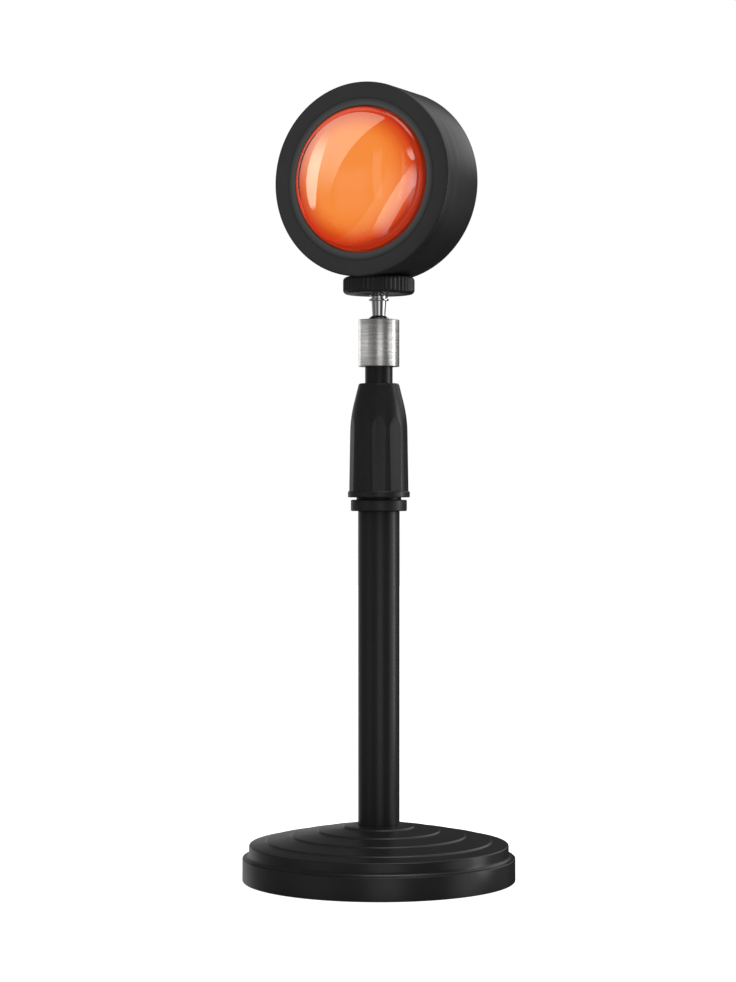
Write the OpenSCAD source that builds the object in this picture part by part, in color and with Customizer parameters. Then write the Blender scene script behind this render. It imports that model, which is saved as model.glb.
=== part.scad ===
// Sunset projection lamp: a lamp head with a domed lens on a ball joint, a telescopic pole with
// a twist lock, and a weighted round base. Millimetres. +Z is up, the origin is the middle of
// the base's underside on the pole's axis, and the lens faces -Y.

/* [Base] */
// Radius of the base over its rim
base_r = 46.25; // [43:0.25:60]
// Height of the rim's lower edge above the table
rim_lift = 0.2; // [0.1:0.1:1.1]
// Height of the rim's top face
rim_top = 8; // [7:0.25:11]
// Width of the ledge between the rim and the raised shoulder
ledge_w = 2.25; // [1.5:0.25:4]
// Height of the shoulder above the rim
shoulder_h = 4.3; // [3.5:0.1:6]
// Rise of the crown for each millimetre towards the pole
crown_slope = 0.12; // [0.08:0.01:0.2]
// How far the crown arches above a straight cone
crown_arch = 0.35; // [0:0.05:0.6]
// Number of fine round steps on the crown
step_count = 4; // [2:1:4]
// Distance of the first step from the edge of the shoulder
step_inset = 5.8; // [4:0.2:7]
// Distance from one step to the next
step_pitch = 8.75; // [7:0.25:9]
// Rise of each step
step_rise = 0.57; // [0.3:0.01:0.7]
// Wall of the base cover
cover_wall = 1.8; // [1.4:0.1:2.2]
// Thickness of the anti-slip pad
pad_t = 1.2; // [1.1:0.1:2]
// Thickness of the base plate
plate_t = 1.2; // [1:0.1:1.6]
// Distance of the base plate's screws from the pole's axis
plate_screw_at = 34; // [28:0.5:35]

/* [Pole] */
// Radius of the outer pole
pole_r = 7.05; // [6.9:0.05:7.4]
// Wall of the outer pole
pole_wall = 0.8; // [0.6:0.05:0.9]
// Height of the outer pole's top end
pole_top = 125.1; // [110:0.1:140]
// Radius of the inner pole
inner_r = 4.675; // [4.5:0.025:4.75]
// Wall of the inner pole
inner_wall = 0.775; // [0.6:0.025:1]
// Length of inner pole that shows between the twist lock and the joint at rest
inner_show = 5.7; // [5:0.1:8]
// How far the inner pole pulls out
pull_out = 85; // [60:1:85]
// Length of the guide bush at the foot of the inner pole
bush_l = 9; // [6:0.5:9]
// Length of the plug that holds the foot of the outer pole
foot_plug_l = 7.4; // [6:0.1:7.4]

/* [Twist lock] */
// Radius of the fixed ring on top of the outer pole
ring_r = 9.5; // [8.5:0.1:10]
// Height of the fixed ring
ring_h = 3.8; // [2.5:0.1:5]
// Radius of the threaded neck
neck_r = 7.6; // [7.5:0.05:7.8]
// Height of the gap between the fixed ring and the grip
grip_gap = 0.8; // [0.4:0.1:1.5]
// Height of the grip
grip_h = 38.6; // [37:0.1:44]
// Radius of the grip's bottom flange
flange_r = 10.5; // [10.3:0.1:12]
// Height of the grip's bottom flange
flange_h = 2.1; // [1.5:0.1:3]
// Radius of the grip just above its flange
grip_low_r = 10.08; // [10:0.02:10.2]
// Radius of the grip where it starts to taper
grip_mid_r = 9.72; // [9.66:0.02:9.8]
// Height of the taper's start above the bottom of the grip
taper_start = 22.2; // [21:0.2:24]
// Height over which the taper bends in
taper_bend = 10; // [6:0.5:10]
// How far the grip's cone draws in for each millimetre of height
taper_slope = 0.25; // [0.2:0.01:0.26]
// Number of finger flats round the grip
flat_count = 10; // [8:1:12]
// Depth of each finger flat
flat_depth = 0.24; // [0.15:0.01:0.3]
// Travel of the grip for one turn
grip_pitch = 3; // [2:0.5:4]

/* [Ball joint] */
// Radius of the ball's housing
housing_r = 6.95; // [6.8:0.05:7.4]
// Height of the ball's housing
housing_h = 15.9; // [15.4:0.1:18]
// Radius of the ball
ball_r = 4.8; // [4.6:0.05:4.9]
// Distance of the ball's centre below the top of its housing
ball_depth = 2.9; // [2.7:0.05:3.2]
// Radius of the stem where it leaves the ball
stem_low_r = 2.22; // [2:0.02:2.4]
// Radius of the stem under its flange
stem_top_r = 2.485; // [2.42:0.005:2.8]
// Height of the flange's underside above the ball's centre
stem_h = 9.3; // [9:0.1:12]
// Radius of the thin flange on the stem
stem_flange_r = 3.35; // [3.3:0.05:4]
// Thickness of the thin flange
stem_flange_t = 0.6; // [0.4:0.05:0.8]
// Outer radius of the stud's screw thread
thread_r = 3.1; // [2.9:0.05:3.15]
// Length of the stud's screw thread
thread_l = 13.6; // [13:0.1:14]

/* [Lock nut] */
// Radius of the knurled lock nut
nut_r = 12.15; // [10.5:0.05:12.3]
// Height of the knurled lock nut
nut_h = 5.8; // [5.4:0.1:6]
// Distance from the stud's flange to the nut
nut_lift = 1.6; // [1.3:0.1:1.8]
// Rounding of the nut's edges
nut_round = 1.35; // [1:0.05:1.6]
// Number of grooves in the nut's knurl
knurl_count = 48; // [36:2:60]
// Depth of each knurl groove
knurl_depth = 0.3; // [0.2:0.05:0.35]
// Thickness of the nut's rubber washer
nut_washer_t = 0.75; // [0.6:0.05:1]

/* [Lamp head] */
// Radius of the lamp barrel
barrel_r = 32.5; // [32:0.25:38]
// Length of the lamp barrel
barrel_l = 23.7; // [23.6:0.1:26]
// Distance from the pole's axis back to the barrel's rear edge
axis_back = 9.7; // [9.6:0.05:9.9]
// Side wall of the barrel
barrel_wall = 2.2; // [1.9:0.1:2.2]
// Width of the chamfer on the barrel's edges
barrel_edge = 0.4; // [0.2:0.1:0.8]
// Depth of the flat cut in the barrel's underside for the lock nut
spot_depth = 0.8; // [0.6:0.05:1]

/* [Optics] */
// Radius of the lens where it leaves the face
lens_r = 24.1; // [23.9:0.1:24.2]
// Height of the rounded flank of the lens in front of the face
lens_flank_h = 1.9; // [1:0.1:2.5]
// Width of the rounded flank of the lens
lens_flank_w = 2.1; // [1:0.1:3]
// Radius of the sphere of the lens's front
lens_dome_r = 50; // [40:1:80]
// Width of the lens's retaining ring
lens_ring_w = 2.7; // [2.6:0.1:3]
// Depth of the retaining ring
lens_ring_t = 2.4; // [1.8:0.1:2.6]
// Thickness of the lens's clamped edge
lens_edge_t = 2.6; // [2:0.1:2.8]
// Thickness of the lens gasket
gasket_t = 0.5; // [0.3:0.1:0.7]
// Thickness of the colour filter
filter_t = 1.1; // [0.9:0.1:1.2]
// Thickness of the barrel's inner web
web_t = 2.4; // [2:0.1:2.6]
// Radius of the reflector's small end
reflector_throat_r = 7.2; // [6.8:0.1:7.6]
// Thickness of the reflector's wall
reflector_wall = 1; // [0.7:0.1:1.2]
// Side of the square lamp chip
chip_w = 9; // [7:0.25:9.25]

/* [Rear] */
// Radius of the lamp's circuit board
board_r = 20; // [19:0.25:20.5]
// Thickness of the circuit board
board_t = 1.6; // [1:0.1:1.6]
// Distance of the board's screws from the optical axis
board_screw_at = 15.8; // [15.4:0.1:16]
// Radius of the thermal pad
thermal_pad_r = 12.5; // [9:0.25:12.5]
// Thickness of the thermal pad
thermal_pad_t = 0.4; // [0.3:0.05:0.5]
// Thickness of the rear cover
rear_t = 4; // [3.8:0.1:4.3]
// Number of cooling grooves in the rear cover
groove_count = 5; // [2:1:5]
// Width of each cooling groove
groove_w = 2; // [1.4:0.1:2]
// Depth of each cooling groove
groove_depth = 2.2; // [1.4:0.1:2.3]
// Distance of the rear cover's screws from the barrel's bore
rear_screw_in = 3.1; // [3:0.1:3.3]
// Clearance between the cable gland and the mounting boss below it
gland_lift = 0.6; // [0.4:0.1:0.8]
// Radius of the gland's bore for the cable
cable_r = 1.8; // [1.2:0.1:2]

/* [Fits] */
// Radial clearance of parts that turn or slide on each other
run_gap = 0.05; // [0.03:0.01:0.08]
// Radial clearance of fixed parts in their seats
fit_gap = 0.02; // [0.01:0.01:0.04]
// Gap between parts that pass without touching
free_gap = 0.3; // [0.2:0.05:0.35]

/* [Hidden] */
$fn = 96;
fine = 0.01;            // overlap of joined shapes
post_count = 3;         // base screws
head_screw_count = 3;   // screws of the board and of the rear cover

// Base: heights from the table up
plate_z = pad_t;
iron_z = plate_z + plate_t;
bolt_head_h = 4;
bolt_head_r = 5.77;     // over the corners of the hexagon
bolt_r = 3;
bolt_washer_t = 1.2;
bolt_washer_r = 8;
bolt_recess_r = bolt_washer_r + 2 * free_gap;
iron_web_t = 2;
recess_top = iron_z + bolt_washer_t + bolt_head_h + free_gap + 0.1;
pole_foot = recess_top + iron_web_t;
shoulder_r = base_r - ledge_w;
shoulder_z = rim_top + shoulder_h;
step_first_r = shoulder_r - step_inset;
under_z = shoulder_z - cover_wall;
under_r = shoulder_r - cover_wall;
hub_wall = 3;
hub_r = pole_r + hub_wall;
hub_z = under_z + (under_r - 2 * hub_r) * crown_slope + step_rise;
post_r = 3.1;
screw_r = 1.5;
screw_head_r = 2.7;
plate_screw_l = 8;

// Outer pole and twist lock
pole_bore = pole_r - pole_wall;
plug_l = 8;
ring_top = pole_top + ring_h;
grip_z = ring_top + grip_gap;
grip_top = grip_z + grip_h;
neck_l = 20;
neck_top = ring_top + neck_l;
jaw_low_r = neck_r - 0.9;
jaw_draft = 0.6;
jaw_slot_w = 0.8;
ferrule_lift = 2;
ferrule_l = 8;
ferrule_z = neck_top + ferrule_lift;
jaw_l = ferrule_lift + ferrule_l - 0.5;
grip_bore = neck_r + run_gap;
grip_shoulder = ferrule_z + ferrule_l + run_gap;
grip_throat = inner_r + free_gap;
grip_edge = 0.5;
flat_low = grip_z + flange_h;
flat_width = 10;
flat_first = -27.2;     // degrees from +X

// Inner pole
housing_z = grip_top + inner_show;
housing_top = housing_z + housing_h;
inner_bore = inner_r - inner_wall;
foot_plug_top = pole_foot + foot_plug_l;
inner_z = pole_top - plug_l - pull_out - bush_l - 1.1;
top_plug_l = 12;

// Ball joint
ball_z = housing_top - ball_depth;
socket_r = ball_r + run_gap;
housing_bore = socket_r + 0.45;
plug_flange_h = 6;
spring_z = housing_z + plug_flange_h;
spring_t = 0.5;
spring_rise = 0.3;
spring_count = 2;
seat_z = spring_z + spring_count * (spring_t + spring_rise) + run_gap;
seat_h = ball_z - 1 - seat_z;
seat_hole_r = 2;
stem_flange_z = ball_z + stem_h;
thread_z = stem_flange_z + stem_flange_t;
thread_top = thread_z + thread_l;

// Lock nut, and the flat under the barrel just above it
nut_z = thread_z + nut_lift;
nut_top = nut_z + nut_h;
spot_z = nut_top + 0.1;
head_z = spot_z - spot_depth + barrel_r;
nut_rim_w = 2.85;
nut_recess_r = nut_r - nut_rim_w;
nut_recess_z = nut_top - 0.7;
nut_core_r = 5;
nut_core_h = 4.4;
nut_dish = 0.4;
nut_lip_t = 0.9;        // lip under the brass insert
nut_lip_z = nut_z + nut_dish + nut_lip_t;
spot_r = nut_r + 0.45;
washer_r = nut_recess_r - 0.1;

// Lamp head: depths back from the barrel's face
face_y = barrel_l - axis_back;
barrel_bore = barrel_r - barrel_wall;
lug_r = 3.4;
lug_gap = 0.2;
lug_hole_l = 8;
rear_screw_at = barrel_bore - rear_screw_in;
ring_out_r = lens_r + 0.3 + lens_ring_w;
ring_in_r = lens_r + 0.3;
lens_seat_r = ring_out_r + run_gap;
edge_r = ring_out_r - 0.2;
edge_d = lens_ring_t;
gasket_d = edge_d + lens_edge_t;
filter_d = gasket_d + gasket_t;
web_d = filter_d + filter_t;
web_back = web_d + web_t;
web_r = min(lens_r - 0.5, rear_screw_at - lug_r - lug_gap);
rear_recess = 0.3;
rear_back = barrel_l - rear_recess;
rear_d = rear_back - rear_t;
board_back = rear_d - thermal_pad_t;
board_d = board_back - board_t;
chip_t = 0.8;
reflector_d = web_d + 0.6;
reflector_r = web_r - 0.1;
reflector_foot = 1.2;
insert_r = 4.25;
insert_z = spot_z;
insert_l = 6.5;
boss_wall = 1;
boss_top = insert_z + insert_l + 1;
small_screw_r = 1.25;
rear_head_r = 2.4;
board_head_r = 2.2;
board_head_h = 1.5;
gland_r = 3.4;
gland_flange_r = 4.6;
gland_flange_t = 1.5;
gland_land_r = 5.4;
gland_at = head_z - boss_top - gland_flange_r - gland_lift;
groove_first_r = 6.8;
groove_margin = 3.6;
groove_last_r = rear_screw_at - rear_head_r - groove_margin;
groove_pitch = (groove_last_r - groove_first_r) / (groove_count - 1);
board_screw_tip = 0.5;
board_screw_grip = rear_t - groove_depth - board_screw_tip;
parts_at = board_screw_at - 3.4;
header_at = board_screw_at - 1.6;
screw_turn = -90;       // the first screw of each ring of screws stands at the top

// ---- helpers ----

// A tube of the given radii between two heights
module tube(r_out, r_in, z0, z1) {
    translate([0, 0, z0])
        difference() {
            cylinder(r = r_out, h = z1 - z0);
            translate([0, 0, -1])
                cylinder(r = r_in, h = z1 - z0 + 2);
        }
}

// A round bar between two heights
module bar(r, z0, z1) {
    translate([0, 0, z0])
        cylinder(r = r, h = z1 - z0);
}

// Children repeated round Z at a distance from it
module around(count, dist, first = 0) {
    for (i = [0:count - 1])
        rotate([0, 0, first + i * 360 / count])
            translate([dist, 0, 0])
                children();
}

// The lamp head's own frame: origin on the face, +Z back along the optical axis, +Y down
module in_head() {
    translate([0, -face_y, head_z])
        rotate([-90, 0, 0])
            children();
}

// Points of a quarter round from angle a to b about a centre
function arc(cx, cy, r, a, b, n = 6) =
    [for (i = [0:n]) let (t = a + (b - a) * i / n) [cx + r * cos(t), cy + r * sin(t)]];

// ---- base ----

// Height of the crown before and after a step
function crown_way(i) = (step_inset + i * step_pitch) / (shoulder_r - pole_r);
function crown_before(i) =
    shoulder_z + (step_inset + i * step_pitch) * crown_slope + i * step_rise
    + 4 * crown_arch * crown_way(i) * (1 - crown_way(i));
function step_r(i) = step_first_r - i * step_pitch;
function crown_end() =
    shoulder_z + (shoulder_r - pole_r) * crown_slope + step_count * step_rise;

// Underside of the cover's crown: a plain cone below the stepped top
under_slope = (crown_end() - cover_wall - under_z) / (under_r - pole_r);
function under_at(r) = under_z + (under_r - r) * under_slope;

module base_cover() {
    step_w = 0.6;
    foot_fillet = 1.4;
    edge = 0.4;
    rim_edge = 0.25;
    crown = [for (i = [0:step_count - 1]) each [
        [step_r(i) + step_w / 2, crown_before(i)],
        [step_r(i) - step_w / 2, crown_before(i) + step_rise]]];
    outside = concat(
        [[base_r - rim_edge, rim_lift], [base_r, rim_lift + rim_edge],
         [base_r, rim_top - rim_edge], [base_r - rim_edge, rim_top]],
        arc(shoulder_r + foot_fillet, rim_top + foot_fillet, foot_fillet, 270, 180),
        [[shoulder_r, shoulder_z - edge], [shoulder_r - edge, shoulder_z]],
        crown,
        [[pole_r + fit_gap, crown_end()]]);
    inside = [[pole_r + fit_gap, hub_z], [hub_r, hub_z], [hub_r, under_at(hub_r)],
        [under_r, under_z], [under_r, rim_top - cover_wall],
        [base_r - cover_wall, rim_top - cover_wall], [base_r - cover_wall, rim_lift]];
    color("#202124")
        difference() {
            union() {
                rotate_extrude()
                    polygon(concat(outside, inside));
                around(post_count, plate_screw_at, 90)
                    bar(post_r, iron_z, under_at(plate_screw_at) + cover_wall / 2);
            }
            around(post_count, plate_screw_at, 90)
                bar(screw_r + fit_gap, iron_z - 1, plate_z + plate_screw_l + free_gap);
        }
}

module base_ballast() {
    clear = free_gap;
    low_r = base_r - cover_wall - clear;
    high_r = under_r - clear;
    // The ballast's cone runs a clearance below the cover's cone until it meets the hub's level
    top_r = under_r - (hub_z + clear - under_z) / under_slope;
    color("#4b4b4d")
        difference() {
            rotate_extrude()
                polygon([[0, iron_z], [low_r, iron_z], [low_r, rim_top - cover_wall - clear],
                    [high_r, rim_top - cover_wall - clear],
                    [high_r, under_at(high_r) - clear], [top_r, hub_z], [0, hub_z]]);
            bar(pole_r + fit_gap, pole_foot, hub_z + 1);
            bar(bolt_r + fit_gap, iron_z - 1, hub_z + 1);
            bar(bolt_recess_r, iron_z - 1, recess_top);
            around(post_count, plate_screw_at, 90)
                bar(post_r + free_gap, iron_z - 1, hub_z + 1);
        }
}

// Countersunk screw: head down at z0, shank up
module countersunk(r, r_head, z0, length) {
    translate([0, 0, z0])
        union() {
            cylinder(r1 = r_head, r2 = r, h = r_head - r);
            cylinder(r = r, h = length);
        }
}

module base_plate() {
    color("#8d9093")
        difference() {
            bar(base_r - cover_wall - free_gap, plate_z, iron_z);
            around(post_count, plate_screw_at, 90)
                countersunk(screw_r + fit_gap, screw_head_r + fit_gap, plate_z, plate_t + 1);
        }
}

module base_plate_screws() {
    color("#b9bbbd")
        around(post_count, plate_screw_at, 90)
            countersunk(screw_r, screw_head_r, plate_z, plate_screw_l);
}

module anti_slip_pad() {
    color("#17181a")
        bar(base_r - cover_wall - 2 * free_gap, 0, pad_t);
}

module pole_bolt() {
    color("#a9abad") {
        translate([0, 0, recess_top - bolt_washer_t - bolt_head_h])
            cylinder(r = bolt_head_r, h = bolt_head_h, $fn = 6);
        bar(bolt_r, recess_top - bolt_washer_t - fine, foot_plug_top - 1);
    }
}

module pole_washer() {
    color("#c4c6c8")
        tube(bolt_washer_r, bolt_r + fit_gap, recess_top - bolt_washer_t, recess_top);
}

// ---- outer pole and twist lock ----

module pole_foot_plug() {
    color("#9a9da0")
        difference() {
            bar(pole_bore - fit_gap, pole_foot, foot_plug_top);
            bar(bolt_r + fit_gap, pole_foot - 1, foot_plug_top - 1 + free_gap);
        }
}

module outer_pole() {
    color("#1b1c1e")
        tube(pole_r, pole_bore, pole_foot, pole_top);
}

module collet_body() {
    ring_edge = 0.3;
    bore = inner_r + run_gap;
    slot_from = neck_top - 2;
    color("#1d1e20")
        difference() {
            rotate_extrude()
                polygon([[bore, pole_top - plug_l], [pole_bore - fit_gap, pole_top - plug_l],
                    [pole_bore - fit_gap, pole_top], [ring_r - ring_edge, pole_top],
                    [ring_r, pole_top + ring_edge], [ring_r, ring_top - ring_edge],
                    [ring_r - ring_edge, ring_top], [neck_r, ring_top], [neck_r, neck_top],
                    [jaw_low_r, neck_top], [jaw_low_r - jaw_draft, neck_top + jaw_l],
                    [bore, neck_top + jaw_l]]);
            for (a = [0, 90])
                rotate([0, 0, a])
                    translate([-neck_r, -jaw_slot_w / 2, slot_from])
                        cube([2 * neck_r, jaw_slot_w, neck_top + jaw_l - slot_from + 1]);
        }
}

// Radius of the jaws' cone at a height
function jaw_at(z) = jaw_low_r - jaw_draft * (z - neck_top) / jaw_l;

module clamp_ferrule() {
    top = ferrule_z + ferrule_l;
    color("#b08d4a")
        rotate_extrude()
            polygon([[jaw_at(ferrule_z) + run_gap, ferrule_z], [grip_bore - run_gap, ferrule_z],
                [grip_bore - run_gap, top], [jaw_at(top) + run_gap, top]]);
}

// Radius of the grip above its flange: almost straight, then bending in to a cone
low_slope = (grip_low_r - grip_mid_r) / (taper_start - flange_h);
function bend_r(u) = grip_mid_r - low_slope * u
    - (taper_slope - low_slope) * u * u / (2 * taper_bend);
grip_top_r = bend_r(taper_bend) - taper_slope * (grip_h - taper_start - taper_bend - grip_edge);

module lock_grip() {
    flange_edge = 0.3;
    bend_steps = 8;
    outside = concat(
        [[flange_r - flange_edge, grip_z], [flange_r, grip_z + flange_edge],
         [flange_r, grip_z + flange_h - flange_edge],
         [flange_r - flange_edge, grip_z + flange_h],
         [grip_low_r, grip_z + flange_h]],
        [for (i = [0:bend_steps]) let (u = taper_bend * i / bend_steps)
            [bend_r(u), grip_z + taper_start + u]],
        [[grip_top_r, grip_top - grip_edge], [grip_top_r - grip_edge, grip_top]]);
    inside = [[grip_throat, grip_top], [grip_throat, grip_shoulder],
        [grip_bore, grip_shoulder], [grip_bore, grip_z]];
    lean = atan(low_slope) + 0.1;
    color("#232427")
        difference() {
            rotate_extrude()
                polygon(concat(outside, inside));
            around(flat_count, grip_low_r - flat_depth, flat_first)
                translate([0, -flat_width / 2, flat_low])
                    rotate([0, -lean, 0])
                        cube([flat_width / 2, flat_width, taper_start + taper_bend]);
        }
}

// ---- inner pole ----

module guide_bush() {
    color("#e8e6df")
        tube(pole_bore - run_gap, inner_r + fit_gap, inner_z, inner_z + bush_l);
}

module inner_pole() {
    color("#1b1c1e")
        tube(inner_r, inner_bore, inner_z, housing_z);
}

module pole_top_plug() {
    color("#9a9da0") {
        bar(inner_bore - fit_gap, housing_z - top_plug_l, housing_z + fine);
        bar(housing_bore - fit_gap, housing_z, spring_z);
    }
}

// ---- ball joint ----

module ball_housing() {
    edge = 0.2;
    color("#c9cacc")
        difference() {
            rotate_extrude()
                polygon([[0, housing_z], [housing_r - edge, housing_z],
                    [housing_r, housing_z + edge], [housing_r, housing_top - edge],
                    [housing_r - edge, housing_top], [0, housing_top]]);
            bar(housing_bore, housing_z - 1, ball_z - 0.8);
            translate([0, 0, ball_z])
                sphere(r = socket_r);
        }
}

// A conical spring washer that rises towards its middle or its edge
module spring_disc(z0, up) {
    r_out = housing_bore - 2 * run_gap;
    r_in = 2.6;
    edge_z = up ? z0 : z0 + spring_rise;
    mid_z = up ? z0 + spring_rise : z0;
    rotate_extrude()
        polygon([[r_in, mid_z], [r_out, edge_z], [r_out, edge_z + spring_t],
            [r_in, mid_z + spring_t]]);
}

module ball_springs() {
    color("#a9abad")
        for (i = [0:spring_count - 1])
            spring_disc(spring_z + i * (spring_t + spring_rise + fine), i % 2 == 0);
}

module ball_seat() {
    color("#e8e6df")
        difference() {
            bar(housing_bore - run_gap, seat_z, seat_z + seat_h);
            bar(seat_hole_r, seat_z - 1, seat_z + seat_h);
            translate([0, 0, ball_z])
                sphere(r = socket_r);
        }
}

module ball_stud() {
    color("#d8dadc") {
        translate([0, 0, ball_z])
            sphere(r = ball_r);
        translate([0, 0, ball_z + ball_r - 1])
            cylinder(r1 = stem_low_r, r2 = stem_top_r, h = stem_h - ball_r + 1 + fine);
        bar(stem_flange_r, stem_flange_z, thread_z);
        bar(thread_r, thread_z - fine, thread_top);
    }
}

// ---- lock nut ----

module lock_nut() {
    groove_r = 0.5;
    low = arc(nut_r - nut_round, nut_z + nut_round, nut_round, -90, 0);
    high = arc(nut_r - nut_round, nut_top - nut_round, nut_round, 0, 90);
    color("#2a2b2e")
        difference() {
            rotate_extrude()
                polygon(concat([[thread_r + free_gap, nut_z + nut_dish]], low, high,
                    [[nut_recess_r, nut_top], [nut_recess_r, nut_recess_z],
                     [nut_core_r + fit_gap, nut_recess_z], [nut_core_r + fit_gap, nut_lip_z],
                     [thread_r + free_gap, nut_lip_z]]));
            around(knurl_count, nut_r + groove_r - knurl_depth)
                bar(groove_r, nut_z - 1, nut_top + 1, $fn = 16);
        }
}

module nut_insert() {
    color("#b08d4a")
        tube(nut_core_r, thread_r + run_gap, nut_lip_z, nut_z + nut_core_h);
}

module nut_washer() {
    color("#17181a")
        tube(washer_r, thread_r + free_gap, nut_recess_z, nut_recess_z + nut_washer_t);
}

// ---- lamp head ----

module lamp_barrel() {
    e = barrel_edge;
    color("#232427")
        difference() {
            union() {
                difference() {
                    in_head() {
                        rotate_extrude()
                            polygon([[lens_seat_r, 0], [barrel_r - e, 0], [barrel_r, e],
                                [barrel_r, barrel_l - e], [barrel_r - e, barrel_l],
                                [barrel_bore, barrel_l], [barrel_bore, web_back],
                                [web_r, web_back], [web_r, web_d], [lens_seat_r, web_d]]);
                        around(head_screw_count, rear_screw_at, screw_turn)
                            bar(lug_r, web_back - fine, rear_d);
                    }
                    bar(spot_r, spot_z - 4, spot_z);
                }
                bar(insert_r + boss_wall, spot_z, boss_top);
            }
            bar(insert_r + fit_gap, spot_z - 1, insert_z + insert_l);
            in_head()
                around(head_screw_count, rear_screw_at, screw_turn)
                    bar(small_screw_r + fit_gap, rear_d - lug_hole_l, barrel_l + 1);
        }
}

module mount_insert() {
    color("#b08d4a")
        tube(insert_r, thread_r + run_gap, insert_z, insert_z + insert_l);
}

module lens_ring() {
    lip = 1.2;
    color("#3c4043")
        in_head()
            rotate_extrude()
                polygon(concat(
                    [[ring_out_r, 0], [ring_out_r, lens_ring_t], [ring_in_r, lens_ring_t]],
                    arc(ring_in_r + lip, lip, lip, 180, 270)));
}

// Depth of the lens's dome at the edge of its rounded flank
dome_edge_r = lens_r - lens_flank_w;
dome_sag = lens_dome_r - sqrt(lens_dome_r * lens_dome_r - dome_edge_r * dome_edge_r);

module lens() {
    flank = [for (i = [0:6]) let (t = 90 * i / 6)
        [lens_r - lens_flank_w * (1 - cos(t)), -lens_flank_h * sin(t)]];
    color("#f0a050")
        in_head() {
            rotate_extrude()
                polygon(concat([[0, gasket_d], [edge_r, gasket_d], [edge_r, edge_d],
                    [lens_r, edge_d]], flank, [[0, -lens_flank_h]]));
            intersection() {
                translate([0, 0, lens_dome_r - dome_sag - lens_flank_h])
                    sphere(r = lens_dome_r);
                bar(dome_edge_r, -lens_flank_h - dome_sag - 1, -lens_flank_h + fine);
            }
        }
}

module lens_gasket() {
    color("#17181a")
        in_head()
            tube(edge_r, lens_r, gasket_d, filter_d);
}

module colour_filter() {
    color("#e0562a")
        in_head()
            bar(edge_r, filter_d, web_d);
}

module reflector() {
    foot_d = board_d - reflector_foot;
    out_throat = reflector_throat_r + reflector_wall;
    color("#dfe1e3")
        in_head()
            rotate_extrude()
                polygon([[reflector_r - reflector_wall, reflector_d], [reflector_r, reflector_d],
                    [reflector_r, reflector_d + 1], [out_throat, foot_d],
                    [out_throat, board_d], [reflector_throat_r, board_d],
                    [reflector_throat_r, foot_d]]);
}

module led_board() {
    color("#e9e9e4")
        in_head()
            difference() {
                bar(board_r, board_d, board_back);
                around(head_screw_count, board_screw_at, screw_turn)
                    bar(small_screw_r + fit_gap, board_d - 1, board_back + 1);
                translate([0, gland_at, 0])
                    bar(gland_flange_r + free_gap, board_d - 1, board_back + 1);
            }
}

module led_chip() {
    emitter_r = 3.6;
    base_t = 0.6;
    color("#f3d36b")
        in_head() {
            translate([-chip_w / 2, -chip_w / 2, board_d - base_t])
                cube([chip_w, chip_w, base_t]);
            bar(emitter_r, board_d - chip_t, board_d - base_t + fine);
        }
}

module board_parts() {
    part_w = 2;
    part_l = 1.25;
    part_t = 0.6;
    color("#3a3b3d")
        in_head()
            for (a = [195:22:261])
                rotate([0, 0, a - 20])
                    translate([parts_at, -part_w / 2, board_d - part_t])
                        cube([part_l, part_w, part_t]);
}

module lead_header() {
    header_w = 6;
    header_d = 3.4;
    header_h = 2.8;
    color("#e8e6df")
        in_head()
            rotate([0, 0, 62])
                translate([header_at, -header_w / 2, board_d - header_h])
                    difference() {
                        cube([header_d, header_w, header_h]);
                        translate([0.5, 0.5, -1])
                            cube([header_d - 1, header_w - 1, header_h]);
                    }
}

module led_screws() {
    color("#a9abad")
        in_head()
            around(head_screw_count, board_screw_at, screw_turn) {
                bar(board_head_r, board_d - board_head_h, board_d);
                bar(small_screw_r, board_d - fine, rear_d + board_screw_grip);
            }
}

module thermal_pad() {
    color("#9fb4c4")
        in_head()
            bar(thermal_pad_r, board_back, rear_d);
}

module rear_cover() {
    e = 0.3;
    color("#26272a")
        in_head()
            difference() {
                union() {
                    difference() {
                        rotate_extrude()
                            polygon([[0, rear_d], [barrel_bore - 0.1, rear_d],
                                [barrel_bore - 0.1, rear_back - e],
                                [barrel_bore - 0.1 - e, rear_back], [0, rear_back]]);
                        for (i = [0:groove_count - 1])
                            let (r = groove_first_r + i * groove_pitch)
                                tube(r + groove_w / 2, r - groove_w / 2,
                                    rear_back - groove_depth, rear_back + 1);
                    }
                    translate([0, gland_at, 0])
                        bar(gland_land_r, rear_d, rear_back);
                }
                translate([0, gland_at, 0])
                    bar(gland_r + fit_gap, rear_d - 1, rear_back + 1);
                around(head_screw_count, board_screw_at, screw_turn)
                    bar(small_screw_r + fit_gap, rear_d - 1,
                        rear_d + board_screw_grip + free_gap);
                around(head_screw_count, rear_screw_at, screw_turn) {
                    bar(small_screw_r + fit_gap, rear_d - 1, rear_back + 1);
                    translate([0, 0, rear_back - (rear_head_r - small_screw_r)])
                        cylinder(r1 = small_screw_r + fit_gap, r2 = rear_head_r + fit_gap,
                            h = rear_head_r - small_screw_r + fine);
                }
            }
}

module rear_screws() {
    color("#a9abad")
        in_head()
            around(head_screw_count, rear_screw_at, screw_turn) {
                translate([0, 0, rear_back - (rear_head_r - small_screw_r)])
                    cylinder(r1 = small_screw_r, r2 = rear_head_r,
                        h = rear_head_r - small_screw_r);
                bar(small_screw_r, rear_d - lug_hole_l + free_gap, rear_back - fine);
            }
}

module cable_gland() {
    inner_flange_t = 0.7;
    e = 0.5;
    color("#141517")
        in_head()
            translate([0, gland_at, 0])
                rotate_extrude()
                    polygon([[cable_r, rear_d - inner_flange_t],
                        [gland_flange_r, rear_d - inner_flange_t],
                        [gland_flange_r, rear_d], [gland_r, rear_d], [gland_r, rear_back],
                        [gland_flange_r, rear_back],
                        [gland_flange_r, rear_back + gland_flange_t - e],
                        [gland_flange_r - e, rear_back + gland_flange_t],
                        [cable_r, rear_back + gland_flange_t]]);
}

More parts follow.
